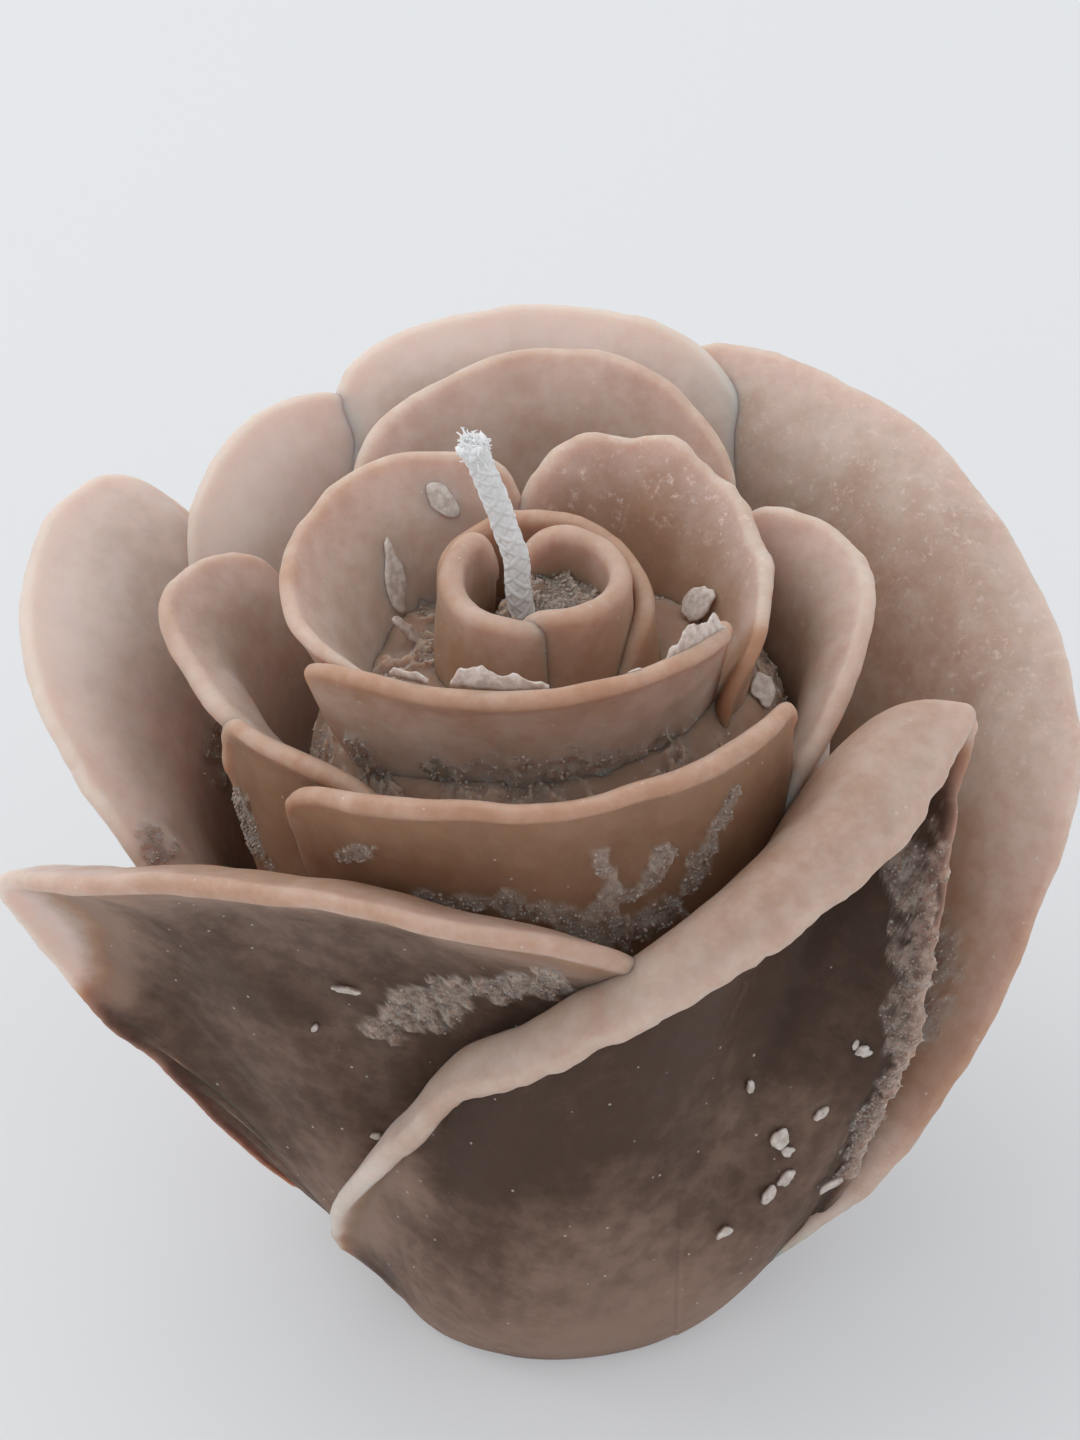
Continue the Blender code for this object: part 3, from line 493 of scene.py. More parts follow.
def petal_wall(across, sheet, below, wall, thin_rim, blunt, seed):
    """Closed loops round a sheet, one for each column, with the direction that each point
    faces, the sheet's directions at the rim and how full the wall is along it. The wall
    stands half its thickness to each side, thins to the share thin_rim in its last few mm,
    and a half round closes it. Its ends taper too, the more slowly the less blunt they are."""
    v = np.linspace(0, 1, sheet.shape[1])
    step = unit(np.gradient(sheet, across, axis=0))
    upward = unit(np.gradient(sheet, axis=1))
    outward = unit(np.cross(step, upward))
    rimward = unit(np.cross(outward, step))[:, -1:]
    edge = np.sqrt(np.clip(1 - np.abs(2 * across - 1) ** blunt, 0.003, 1))[:, None, None]
    swell = (1.25 - 0.30 * v) * (1 - (1 - thin_rim) * np.exp(-((below / RIM_FADE) ** 2)))
    swell = swell[..., None] * (1 + 0.06 * cloudy(sheet, 9, seed + 50)[..., None])
    half = 0.5 * wall * edge * swell
    turn = np.linspace(0, math.pi, RIM_POINTS + 2)[None, 1:-1, None]
    round_face = rimward * np.sin(turn) - outward[:, -1:] * np.cos(turn)
    round_rim = sheet[:, -1:] + half[:, -1:] * round_face
    loops = np.concatenate([sheet - outward * half, round_rim, (sheet + outward * half)[:, ::-1]], axis=1)
    face = np.concatenate([-outward, round_face, outward[:, ::-1]], axis=1)
    return loops, face, rimward, edge[:, :, 0]


def petal_relief(loops, face, rimward, edge, sheet, ragged, tears, seam, seed):
    """Loops with a ragged rim, slow lumps and torn strips, and how torn each point is. Tears
    are strips, each a row of places and radii. A seam is a fine step of the outer face at x,
    up to the height z. What would pass below the base is pressed flat on it."""
    v = np.linspace(0, 1, sheet.shape[1])
    share = np.concatenate([v, np.ones(RIM_POINTS), v[::-1]])
    rim = sheet[:, -1:]
    notch = lumpy(rim, 2.2, 3, seed + 40) - 0.6 * (lumpy(rim, 4.5, 2, seed + 44) > 0.75)
    loops = loops + rimward * (ragged * edge * notch * share**14)[..., None]
    torn = np.zeros(loops.shape[:2])
    grain = lumpy(loops, 1.6, 3, seed + 60)
    for strip in tears:
        for *place, radius in along(strip, np.linspace(0, 1, 4 * len(strip))):
            away = np.linalg.norm(loops - place, axis=-1) / radius
            torn = np.maximum(torn, eased(2.7 - 2 * away + 1.8 * grain))
    swells = SWELL_HEIGHT * cloudy(loops @ TWIST, SWELL_SIZE, seed + 20)
    dimples = DIMPLE_HEIGHT * lumpy(loops, DIMPLE_SIZE, 2, seed + 30)
    webs = WEB_HEIGHT * webby(loops, WEB_SIZE, seed + 70)
    grains = CRUMB_HEIGHT * lumpy(loops, CRUMB_SIZE, 2, seed + 80)
    lumps = (swells + dimples) * edge + torn * (webs + grains)
    if seam:
        outer_side = np.arange(len(share)) > len(v) + RIM_POINTS
        past = eased((loops[..., 0] - seam[0]) / 0.3)
        under = eased((seam[1] - loops[..., 2]) / 4)
        lumps = lumps + SEAM_STEP * outer_side * past * under
    loops = loops + face * lumps[..., None]
    loops[..., 2] = loops[..., 2].clip(0.1)
    return loops, torn


def petal_paleness(below, inside, outside, crest, dusty_shade, lit):
    """How pale each point of a petal's loops is, and how much it takes the dusty colour of the
    undersides, which is painted shade under the rims. Inside and outside say how pale each
    face is in its depth, over how many mm that fades from the crest's, and, with a third
    number, how pale it is at its foot: painted light on the outer face. The fade from the
    crest into the depths is painted shade, and the crest's paleness partly thin wax and
    partly painted light. The rim is painted lit from one share of its length to another, and
    elsewhere takes the outer face's dusty colour and painted shade."""
    columns, rows = below.shape
    s, v = np.linspace(0, 1, columns), np.linspace(0, 1, rows)
    # Painted light: the crest's paleness shows only along the lit share of the rim.
    rim_lit = (eased((s - lit[0]) / 0.05) * eased((lit[1] - s) / 0.05))[:, None]
    pale_in = inside[0] + (crest - inside[0]) * np.exp(-below / inside[1]) * rim_lit
    depth = outside[0] + (outside[-1] - outside[0]) * eased(1 - 1.9 * v) * (len(outside) > 2)
    pale_out = depth + (crest - 0.05 - outside[0]) * np.exp(-below / outside[1]) * rim_lit
    turn = np.linspace(0, 1, RIM_POINTS)
    pale_rim = (1 - turn) * pale_in[:, -1:] + turn * pale_out[:, -1:]
    pale = np.concatenate([pale_in, pale_rim, pale_out[:, ::-1]], axis=1)
    # Painted shade: the dusty colour covers the outer face below the rim, and the rim and inner face where
    # the rim is not painted lit.
    dusty_shade_in = (1 - rim_lit) * np.exp(-below / 3)
    dusty_shade_rim = np.repeat(1 - rim_lit, RIM_POINTS, axis=1)
    dusty_shade_out = np.maximum(eased(below / 3 - 0.2), 1 - rim_lit)
    return pale, dusty_shade * np.concatenate([dusty_shade_in, dusty_shade_rim, dusty_shade_out[:, ::-1]], axis=1)


def bell(points, place, radius):
    """Weight from 1 at a place down to 0 round it: exp(-(distance / radius)^2)."""
    return np.exp(-((np.linalg.norm(points - place, axis=-1) / radius) ** 2))


def petal(name, node, reach, height, wall, foot, belly, lip_share, rim_shares, seed, middle=(0.0, 0.0),
          inside=(0.3, 10), outside=(0.1, 2), crest=0.9, dusty_shade=0.0, lit=(-1, 2), thin_rim=0.62, waver=0.35,
          ragged=0.2, blunt=7, columns=280, rows=110, tears=(), painted_shading=(), frost=(), seam=None):
    """A petal, with its sizes in mm, as its sheet, wall, relief and paleness say. Waver moves
    the rim slowly and ragged quickly. Tints are places, radii and what they add to the
    paleness: patches of painted light and painted shade. Frost is places and radii of bloom.
    Gives what crumbs need of it."""
    across, sheet, below = petal_sheet(
        reach, height, foot, belly, lip_share, rim_shares, middle, waver, seed, columns, rows,
    )
    loops, face, rimward, edge = petal_wall(across, sheet, below, wall, thin_rim, blunt, seed)
    loops, torn = petal_relief(loops, face, rimward, edge, sheet, ragged, tears, seam, seed)
    thin_and_shading, dusty_shade_mask = petal_paleness(below, inside, outside, crest, dusty_shade, lit)
    # Painted light and shade: each tint makes the paleness round a place higher or lower.
    for *place, radius, amount in painted_shading:
        thin_and_shading = thin_and_shading + amount * bell(loops, place, radius)
    bloom = np.zeros(loops.shape[:2])
    for *place, radius in frost:
        bloom = np.maximum(bloom, bell(loops, place, radius))
    piece = shell(name, loops * MM, {"thin_and_shading": thin_and_shading.clip(0, 1), "torn": torn, "frost": bloom, "under": dusty_shade_mask})
    piece.data.materials.append(petal_wax)
    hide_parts(node)
    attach(piece, "root")
    return loops, face, torn


bud_wall = {
    "height": 79.49, "belly": (88, 0.3), "lip_share": 0.3, "middle": (-1.6, -0.4),
    "inside": (0.45, 4), "thin_rim": 0.80, "rows": 70,
}
petal(
    "bud_left", "bud_petal_left", reach=7.6, wall=2.9,
    foot=(7.6, 57, 128, 290), seed=10, outside=(0.54, 4), crest=0.71, waver=0.15, ragged=0.08, columns=190,
    rim_shares=[
        (124, 0.92, 0.93, 90), (138, 1.0, 0.985, 90), (165, 1.02, 0.985, 90), (200, 1.04, 0.98, 90),
        (235, 1.08, 0.98, 90), (255, 1.06, 0.98, 90), (268, 0.98, 0.972, 90), (278, 0.88, 0.94, 90),
    ],
    **bud_wall,
)
petal(
    "bud_right", "bud_petal_right", reach=7.6, wall=2.9,
    foot=(7.6, 57, 262, 462), seed=50, outside=(0.54, 4), crest=0.71, waver=0.15, ragged=0.08, columns=240,
    rim_shares=[
        (252, 0.74, 0.945, 90), (270, 0.85, 0.98, 90), (290, 0.98, 0.99, 88), (312, 1.03, 0.992, 88),
        (340, 1.02, 0.99, 88), (372, 0.98, 0.985, 90), (408, 0.95, 0.985, 90), (440, 0.84, 0.985, 92),
        (470, 0.66, 0.955, 95),
    ],
    **bud_wall,
)
petal(
    "bud_back", "bud_petal_back", reach=10.6, wall=2.4,
    foot=(10.6, 57, -34, 150), seed=90, outside=(0.42, 4), crest=0.66, waver=0.25, ragged=0.12, columns=170,
    rim_shares=[
        (-38, 0.88, 0.89, 90), (-20, 0.9, 0.93, 90), (8, 0.92, 0.942, 90), (35, 0.95, 0.955, 90),
        (60, 1.0, 0.965, 88), (85, 1.0, 0.972, 88), (116, 1.0, 0.97, 88), (140, 1.0, 0.955, 90),
        (152, 0.98, 0.91, 90),
    ],
    **bud_wall,
)

# Inner petals: three thinner walls of wax that open round the bud, cast with the heart.
# The front one has torn flash along its rim, where the mould was pulled off. Crumbs and
# flakes of wax stick to the ring and in the groove below it.


def crumbs(name, surfaces, count, size, seed):
    """Crumbs of torn wax: octahedra with uneven corners, in mm, spread by chance over the
    torn places of the given surfaces."""
    rng = np.random.default_rng(seed)
    points, normals, torn = (
        np.concatenate([part.reshape(-1, *part.shape[2:]) for part in parts]) for parts in zip(*surfaces)
    )
    chance = torn.clip(0, 1) ** 2
    picked = rng.choice(len(points), count, p=chance / chance.sum())
    grown = size * rng.uniform(0.35, 1.0, (count, 1, 1)) ** 1.5
    corner = np.array([(1, 0, 0), (-1, 0, 0), (0, 1, 0), (0, -1, 0), (0, 0, 1), (0, 0, -1)], float)
    shape = corner * rng.uniform(0.5, 1.2, (count, 6, 1))
    spin = unit(rng.normal(size=(count, 3, 3)))
    spin[:, 1] = unit(spin[:, 1] - (spin[:, 1] * spin[:, 0]).sum(-1, keepdims=True) * spin[:, 0])
    spin[:, 2] = np.cross(spin[:, 0], spin[:, 1])
    centre = points[picked] + 0.25 * grown[:, 0] * normals[picked]
    lumps = (centre[:, None] + grown * (shape @ spin)) * MM
    side = [(0, 2, 4), (2, 1, 4), (1, 3, 4), (3, 0, 4), (2, 0, 5), (1, 2, 5), (3, 1, 5), (0, 3, 5)]
    faces = (np.array(side)[None] + 6 * np.arange(count)[:, None, None]).reshape(-1, 3)
    mesh = bpy.data.meshes.new(name)
    mesh.from_pydata(lumps.reshape(-1, 3), [], faces)
    piece = bpy.data.objects.new(name, mesh)
    bpy.context.scene.collection.objects.link(piece)
    piece.data.materials.append(crumb_wax)
    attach(piece, "root")


FLAKE_RISE = 0.15


def flakes(name, places, seed):
    """Flakes of wax that stick to a face. Each place is a point and its face's direction, then
    the flake's length, width and turn in degrees. A flake is five rings of 18 points, the
    outline's radius moved by noise, domed up to its middle."""
    x, y, z, nx, ny, nz, length, width, turn = np.array(places, float).T[..., None, None]
    a = np.linspace(0, math.tau, 18, endpoint=False)[None, None]
    ring = np.array([1.0, 1.04, 0.94, 0.55, 0.04])[None, :, None]
    rise = np.array([-1.6, 0.3, 0.9, 1.0, 0.9])[None, :, None] * FLAKE_RISE
    number = np.arange(len(places))[:, None, None]
    where = np.stack(np.broadcast_arrays(np.cos(a) + 3 * number, np.sin(a), seed), -1)
    uneven = 1 + 0.42 * lumpy(where, 0.9, 2, seed)
    along_it, beside = 0.5 * length * ring * uneven * np.cos(a), 0.5 * width * ring * uneven * np.sin(a)
    c, s = np.cos(np.radians(turn)), np.sin(np.radians(turn))
    u, w = c * along_it - s * beside, s * along_it + c * beside
    out = unit(np.stack([nx, ny, nz], -1))
    right = unit(np.cross(np.array([0, 0, 1.0]), out))
    up = np.cross(out, right)
    rough = rise[..., None] + 0.10 * lumpy(np.stack([u, w, seed + 0 * u], -1), 0.7, 2, seed + 3)[..., None]
    points = np.stack([x, y, z], -1) + u[..., None] * right + w[..., None] * up + rough * out
    piece = tube_mesh(name, [points * MM])
    piece.data.materials.append(flake_wax)
    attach(piece, "root")


def flash(name, root, height, lean, seed):
    """Thin skin of wax that stands on a rim: a ribbon along the root's points, as high as the
    heights with a ragged top, 0.5 mm thick at its root and thinner at its edge."""
    share = np.linspace(0, 1, 90)
    path = along(root, share)
    tall = along([(v,) for v in height], share)[:, 0]
    tall = (tall * (1 + 0.45 * lumpy(path, 1.6, 3, seed))).clip(0.05)
    tall = tall * np.minimum(1, 12 * np.minimum(share, 1 - share) + 0.1)
    across = unit(np.cross(np.gradient(path, axis=0), [0, 0, 1.0]))
    rise = unit(np.array([0, 0, 1.0]) + lean * across)
    v = np.array([-0.5, 0.0, 0.5, 0.85, 1.0])[None, :, None]
    wide = 0.25 * np.array([1.0, 1.0, 0.7, 0.45, 0.25])[None, :, None]
    middle = path[:, None] + rise[:, None] * np.where(v < 0, v, v * tall[:, None, None])
    middle = middle + 0.12 * lumpy(middle, 1.2, 2, seed + 5)[..., None] * across[:, None]
    aside = wide * across[:, None]
    loops = np.concatenate([middle + aside, (middle - aside)[:, ::-1]], axis=1)
    piece = shell(name, loops * MM, {})
    piece.data.materials.append(flake_wax)
    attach(piece, "root")


def dry_wax(name, colour, speck):
    """Dull crumbly wax: one colour mottled with another by a fine noise."""
    material = bpy.data.materials.new(name)
    material.use_nodes = True
    nodes, links = material.node_tree.nodes, material.node_tree.links
    shader = nodes["Principled BSDF"]
    grain = nodes.new("ShaderNodeTexNoise")
    grain.inputs["Scale"].default_value = 1500
    grain.inputs["Detail"].default_value = 4
    links.new(nodes.new("ShaderNodeTexCoord").outputs["Object"], grain.inputs["Vector"])
    ramp = nodes.new("ShaderNodeValToRGB")
    ramp.color_ramp.elements[0].position = 0.38
    ramp.color_ramp.elements[0].color = (*colour, 1)
    ramp.color_ramp.elements[1].position = 0.62
    ramp.color_ramp.elements[1].color = (*speck, 1)
    links.new(grain.outputs["Fac"], ramp.inputs["Fac"])
    links.new(ramp.outputs["Color"], shader.inputs["Base Color"])
    shader.inputs["Roughness"].default_value = 0.6
    shader.inputs["Subsurface Weight"].default_value = 0.4
    shader.inputs["Subsurface Radius"].default_value = (1.0, 0.6, 0.5)
    shader.inputs["Subsurface Scale"].default_value = 0.8 * MM
    return material


crumb_wax = dry_wax("crumb_wax", (0.38, 0.29, 0.24), (0.49, 0.40, 0.35))
flake_wax = dry_wax("flake_wax", (0.52, 0.43, 0.38), (0.72, 0.645, 0.595))


petal(
    "inner_left", "inner_petal_left", reach=24, height=79.97, wall=2.8,
    foot=(12, 47, 100, 240), belly=(74, 0.36), lip_share=0.36, seed=130,
    inside=(0.76, 9), outside=(0.50, 6), crest=0.75, waver=0.35, ragged=0.10, columns=220, rows=80,
    rim_shares=[
        (95, 0.62, 0.875, 78), (108, 0.73, 0.98, 70), (125, 0.85, 1.0, 60), (150, 0.96, 1.0, 52),
        (175, 1.0, 0.99, 50), (200, 1.0, 0.97, 54), (222, 0.91, 0.955, 64), (240, 0.79, 0.875, 78),
    ],
)
petal(
    "inner_back_right", "inner_petal_back_right", reach=20.8, height=79.97, wall=2.8,
    foot=(12, 47, -30, 104), belly=(74, 0.36), lip_share=0.36, seed=170,
    inside=(0.38, 8), outside=(0.50, 6), crest=0.80, lit=(0.18, 2),
    waver=0.75, ragged=0.25, columns=220, rows=80,
    frost=[(0.5, 17, 79, 5), (6, 17.5, 79, 6), (12, 15, 79, 5), (16, 11, 78, 5), (18, 5, 77, 4)],
    rim_shares=[
        (-35, 0.84, 0.825, 78), (-20, 0.89, 0.91, 70), (5, 0.93, 0.95, 62), (22, 0.97, 0.962, 58),
        (36, 1.0, 0.984, 55), (47, 0.99, 0.988, 55), (58, 0.99, 1.004, 55), (70, 0.962, 0.992, 58),
        (82, 0.95, 0.999, 60), (95, 0.85, 0.975, 68), (108, 0.74, 0.89, 78),
    ],
)
inner_front_wax = petal(
    "inner_front", "inner_petal_front", reach=24.8, height=80.59, wall=2.8,
    foot=(12, 47, 214, 320), belly=(74, 0.36), lip_share=0.2, seed=210,
    inside=(0.52, 6), outside=(0.76, 5), crest=0.64, waver=0.35, ragged=0.20, columns=260, rows=80,
    tears=[[(-11, -15.8, 67.8, 1.2), (-7.7, -17, 68.6, 2.1), (-5, -17.8, 69, 2.4),
            (-2.3, -18.3, 69.2, 2.4), (0.4, -18.1, 69.2, 2.2), (3.1, -17.3, 69, 2),
            (5.8, -16.5, 69, 1.7), (8.5, -15.4, 69.3, 1.3), (13.5, -12, 70, 1)],
           [(-18, -13.2, 69.8, 0.9), (-17.5, -12.9, 68, 1.2), (-16.9, -12.6, 66.4, 1.5)]],
    rim_shares=[
        (204, 0.92, 0.87, 80), (211, 1.0, 0.953, 65), (235, 0.9, 0.973, 45), (265, 0.85, 0.99, 38),
        (295, 0.82, 1.0, 38), (320, 0.76, 0.99, 50), (336, 0.66, 0.95, 70), (345, 0.6, 0.87, 80),
    ],
)
heart_surface = (heart_points, np.broadcast_to((0.0, 0.0, 1.0), heart_points.shape), heart_crust)
crumbs("inner_crumbs", [inner_front_wax, heart_surface], 5200, 0.30, 21)
flakes("inner_flakes", [
    (-10.7, 14.0, 77.2, 0.40, -0.75, 0.54, 3.6, 2.4, 125),
    (-14.9, 7.8, 72.8, 0.71, -0.58, 0.40, 6.5, 2.2, 80),
    (-13.8, 2.6, 70.4, 0.70, -0.40, 0.50, 4.2, 1.5, 110),
    (13.0, 6.0, 70.9, -0.7, -0.4, 0.5, 3.8, 2.6, 60),
], 5)
flash("inner_flash_left", [
    (-14.6, -15.6, 79.0), (-12.9, -16.6, 79.2), (-11.3, -17.3, 79.3),
], [0.3, 0.9, 0.4], 0.2, 61)
flash("inner_flash_front", [
    (-9.2, -18.0, 79.7), (-7.2, -18.7, 79.9), (-5.0, -19.2, 80.0), (-2.8, -19.4, 80.1), (-0.6, -19.5, 80.2),
], [0.5, 1.9, 1.5, 0.9, 0.4], 0.15, 67)
flash("inner_flash_right", [
    (6.1, -18.4, 80.4), (7.4, -18.0, 80.4), (8.8, -17.3, 80.5),
], [0.5, 1.3, 0.7], 0.3, 71)
flash("inner_flash_end", [
    (9.6, -16.5, 80.5), (11.2, -15.2, 80.5), (12.7, -13.8, 80.5), (14.0, -12.2, 80.3), (14.9, -10.4, 80.1),
], [0.6, 2.0, 2.4, 2.0, 0.8], -0.2, 73)

# Middle petals: five walls of wax round the inner ring, highest at the back, cast with the
# heart. Torn webs of wax hang under the rims of the front and left ones.

petal(
    "middle_back", "middle_petal_back", reach=36.5, height=78.45, wall=3,
    foot=(19, 36, 55, 130), belly=(50, 0.5), lip_share=0.35, seed=250,
    inside=(0.68, 12), outside=(0.38, 6), crest=0.80, waver=0.40, ragged=0.10, columns=220, rows=80,
    rim_shares=[
        (50, 0.74, 0.84, 70), (58, 0.82, 0.945, 60), (75, 0.93, 0.995, 55), (93, 1.0, 1.0, 50),
        (110, 0.94, 0.98, 55), (125, 0.83, 0.96, 60), (138, 0.74, 0.865, 70),
    ],
)
middle_left_wax = petal(
    "middle_left", "middle_petal_left", reach=36, height=71.97, wall=3,
    foot=(19, 36, 150, 216), belly=(45, 0.5), lip_share=0.35, seed=290,
    inside=(0.80, 10), outside=(0.42, 5), crest=0.76, waver=0.35, ragged=0.10, columns=200, rows=80,
    tears=[[(-29.4, -10.1, 66.5, 2), (-29, -10.6, 65, 2)]],
    rim_shares=[
        (146, 0.8, 0.835, 60), (151, 0.89, 0.945, 50), (160, 0.97, 0.985, 42), (173, 1.0, 1.0, 37),
        (188, 0.91, 0.97, 37), (200, 0.83, 0.95, 42), (212, 0.74, 0.915, 52), (221, 0.67, 0.835, 62),
    ],
)
middle_front_left_wax = petal(
    "middle_front_left", "middle_petal_front_left", reach=31, height=69.97, wall=3,
    foot=(19, 36, 198, 240), belly=(45, 0.5), lip_share=0.22, seed=330,
    inside=(0.52, 7), outside=(0.34, 4), crest=0.70, waver=0.30, ragged=0.15, columns=160, rows=80,
    tears=[[(-28.8, -10.2, 59, 1.6), (-27.6, -10.9, 55.5, 1.8)]],
    rim_shares=[
        (196, 1.0, 0.885, 70), (201, 1.0, 0.985, 50), (211, 0.95, 1.0, 38), (224, 0.87, 0.985, 35),
        (234, 0.82, 0.945, 45), (242, 0.77, 0.855, 65),
    ],
)
middle_front_wax = petal(
    "middle_front", "middle_petal_front", reach=31, height=75.28, wall=3,
    foot=(19, 36, 214, 332), belly=(55, 0.35), lip_share=0.14, seed=370,
    inside=(0.50, 7), outside=(0.34, 3.8), crest=0.65, waver=0.40, ragged=0.12, columns=280, rows=90,
    tears=[[(3.8, -27.8, 67.9, 0.7), (4.1, -27.3, 65.9, 0.7), (5, -26.9, 64.7, 0.8),
            (5.1, -26.6, 62.7, 0.8), (3.7, -27.2, 59.7, 1.2)],
           [(9.4, -25.5, 66.9, 0.8), (9.2, -25.4, 64.5, 1), (7.7, -25.9, 62.4, 1),
            (5.5, -26.4, 62.1, 0.8)],
           [(15.8, -21.9, 70.5, 0.6), (14.8, -22.3, 67.8, 0.8), (13.7, -23.1, 65.1, 1.3),
            (12.2, -23.6, 61.4, 1.5)],
           [(0.4, -27.5, 60.9, 0.8), (2.2, -27, 59.3, 1.3), (3.9, -26.5, 58.1, 1.8),
            (6.2, -26.1, 57.4, 2), (9.5, -25, 59, 1.7)],
           [(-12.5, -25.6, 61, 1.1), (-9.4, -26.4, 61.4, 1.2), (-4.9, -27.3, 61.8, 1.2),
            (-1.4, -27.6, 61.5, 1.1)],
           [(-19.2, -22.4, 63.4, 0.5), (-17.3, -24.4, 65.6, 0.5), (-15.8, -25.8, 67.2, 0.4)]],
    rim_shares=[
        (212, 0.9, 0.8, 75), (222, 0.98, 0.91, 52), (240, 1.0, 0.963, 32), (262, 0.97, 0.982, 26),
        (285, 0.93, 0.99, 26), (305, 0.89, 1.0, 32), (321, 0.83, 0.996, 50), (332, 0.78, 0.93, 75),
    ],
)
petal(
    "middle_right", "middle_petal_right", reach=28.6, height=76.45, wall=3,
    foot=(19, 36, -42, 44), belly=(50, 0.42), lip_share=0.35, seed=410,
    inside=(0.60, 10), outside=(0.90, 8), crest=0.80, waver=0.40, ragged=0.15, columns=220, rows=80,
    rim_shares=[
        (-42, 0.77, 0.705, 70), (-36, 0.84, 0.785, 62), (-26, 0.89, 0.865, 55), (-12, 0.94, 0.92, 50),
        (2, 0.99, 0.965, 46), (13, 1.0, 0.985, 44), (24, 0.93, 1.0, 50), (36, 0.82, 0.985, 60),
        (46, 0.74, 0.89, 72),
    ],
)
crumbs("middle_crumbs", [
    middle_front_wax, middle_front_left_wax, middle_left_wax,
], 2200, 0.25, 22)
flakes("middle_flakes", [(19.0, -3.2, 67.9, 0.4, -0.6, 0.7, 3.8, 2.5, 75)], 6)

# Outer petals: six big walls of wax, cast with the heart, that rise from the base and
# turn out and over at their rims. The undersides of the front ones are painted dark as
# shade under the rims and lighter toward the foot as painted light, and are scarred where
# wax stuck to the mould.

petal(
    "outer_back", "outer_petal_back", reach=46.5, height=76.94, wall=3.4,
    foot=(16.5, 2, 60, 118), belly=(45, 0.35), lip_share=0.35, seed=450,
    inside=(0.62, 22), outside=(0.2, 4), crest=0.96, waver=0.45, ragged=0.08, blunt=2,
    painted_shading=[(18, 33, 62, 9, -0.15), (-18, 29, 56, 8, -0.12)],
    rim_shares=[
        (56, 0.76, 0.66, 60), (61, 0.86, 0.87, 54), (72, 0.95, 0.978, 45), (92, 1.0, 1.0, 35),
        (108, 0.99, 0.985, 35), (117, 0.955, 0.945, 42), (123, 0.83, 0.86, 52), (128, 0.69, 0.66, 60),
    ],
)
petal(
    "outer_back_left", "outer_petal_back_left", reach=43.5, height=73, wall=3.4,
    foot=(16.9, 1.5, 119, 149), belly=(45, 0.35), lip_share=0.35, seed=490,
    inside=(0.64, 18), outside=(0.2, 4), crest=0.98, blunt=5, waver=0.30, ragged=0.08, columns=180,
    rim_shares=[
        (112, 0.92, 0.795, 60), (118, 1.0, 0.97, 50), (130, 1.0, 1.0, 40), (142, 0.96, 0.97, 40),
        (148, 0.93, 0.905, 45), (153, 0.85, 0.745, 60),
    ],
)
outer_left_wax = petal(
    "outer_left", "outer_petal_left", reach=52, height=69.48, wall=3.4,
    foot=(17.3, 1, 150, 200), belly=(42, 0.35), lip_share=0.35, seed=530,
    inside=(0.70, 18), outside=(0.20, 4), crest=0.96, dusty_shade=0.8, waver=0.45, ragged=0.10,
    tears=[[(-32.7, 12, 49, 3), (-33, 11, 48, 2)],
           [(-37.3, -10.1, 55, 1.8), (-37.5, -9.8, 54.2, 1.4)]],
    rim_shares=[
        (140, 0.65, 0.66, 60), (141, 0.81, 0.865, 45), (145, 0.94, 0.985, 30), (155, 1.0, 1.0, 25),
        (172, 0.95, 0.95, 25), (184, 0.87, 0.89, 30), (194, 0.8, 0.82, 40), (200, 0.71, 0.66, 50),
    ],
)
outer_front_left_wax = petal(
    "outer_front_left", "outer_petal_front_left", reach=52.3, height=65, wall=3.4,
    foot=(16.9, 1.5, 206, 268), belly=((46, 81), 0.26), lip_share=0.28, seed=570,
    inside=(0.46, 9), outside=(0.06, 4.0, 0.42), crest=0.71, lit=(0.22, 2), dusty_shade=1.0, thin_rim=0.55,
    waver=0.40, ragged=0.12, columns=320,
    tears=[[(-17.2, -20.8, 41.7, 0.8), (-14.4, -22.2, 44.5, 2), (-11.4, -24, 48, 2.4),
            (-7.7, -26.6, 51.8, 1.5)],
           [(-6, -27.3, 52.5, 1.6), (-3.2, -28.9, 53.9, 2), (-1, -29, 54, 1.8), (-0.5, -31.8, 57.9, 1)]],
    painted_shading=[(-49, -11, 48, 8, 0.5), (-46, -11, 43, 6, 0.25)],
    rim_shares=[
        (199, 0.51, 0.17, 45), (195, 0.75, 0.45, 25), (192, 0.91, 0.645, 10), (193.5, 1.0, 0.8, 0),
        (204, 0.92, 0.892, 5), (218, 0.78, 0.96, 15), (238, 0.7, 1.0, 22), (262, 0.67, 0.993, 30),
        (279, 0.635, 0.924, 45), (288, 0.57, 0.77, 60),
    ],
)
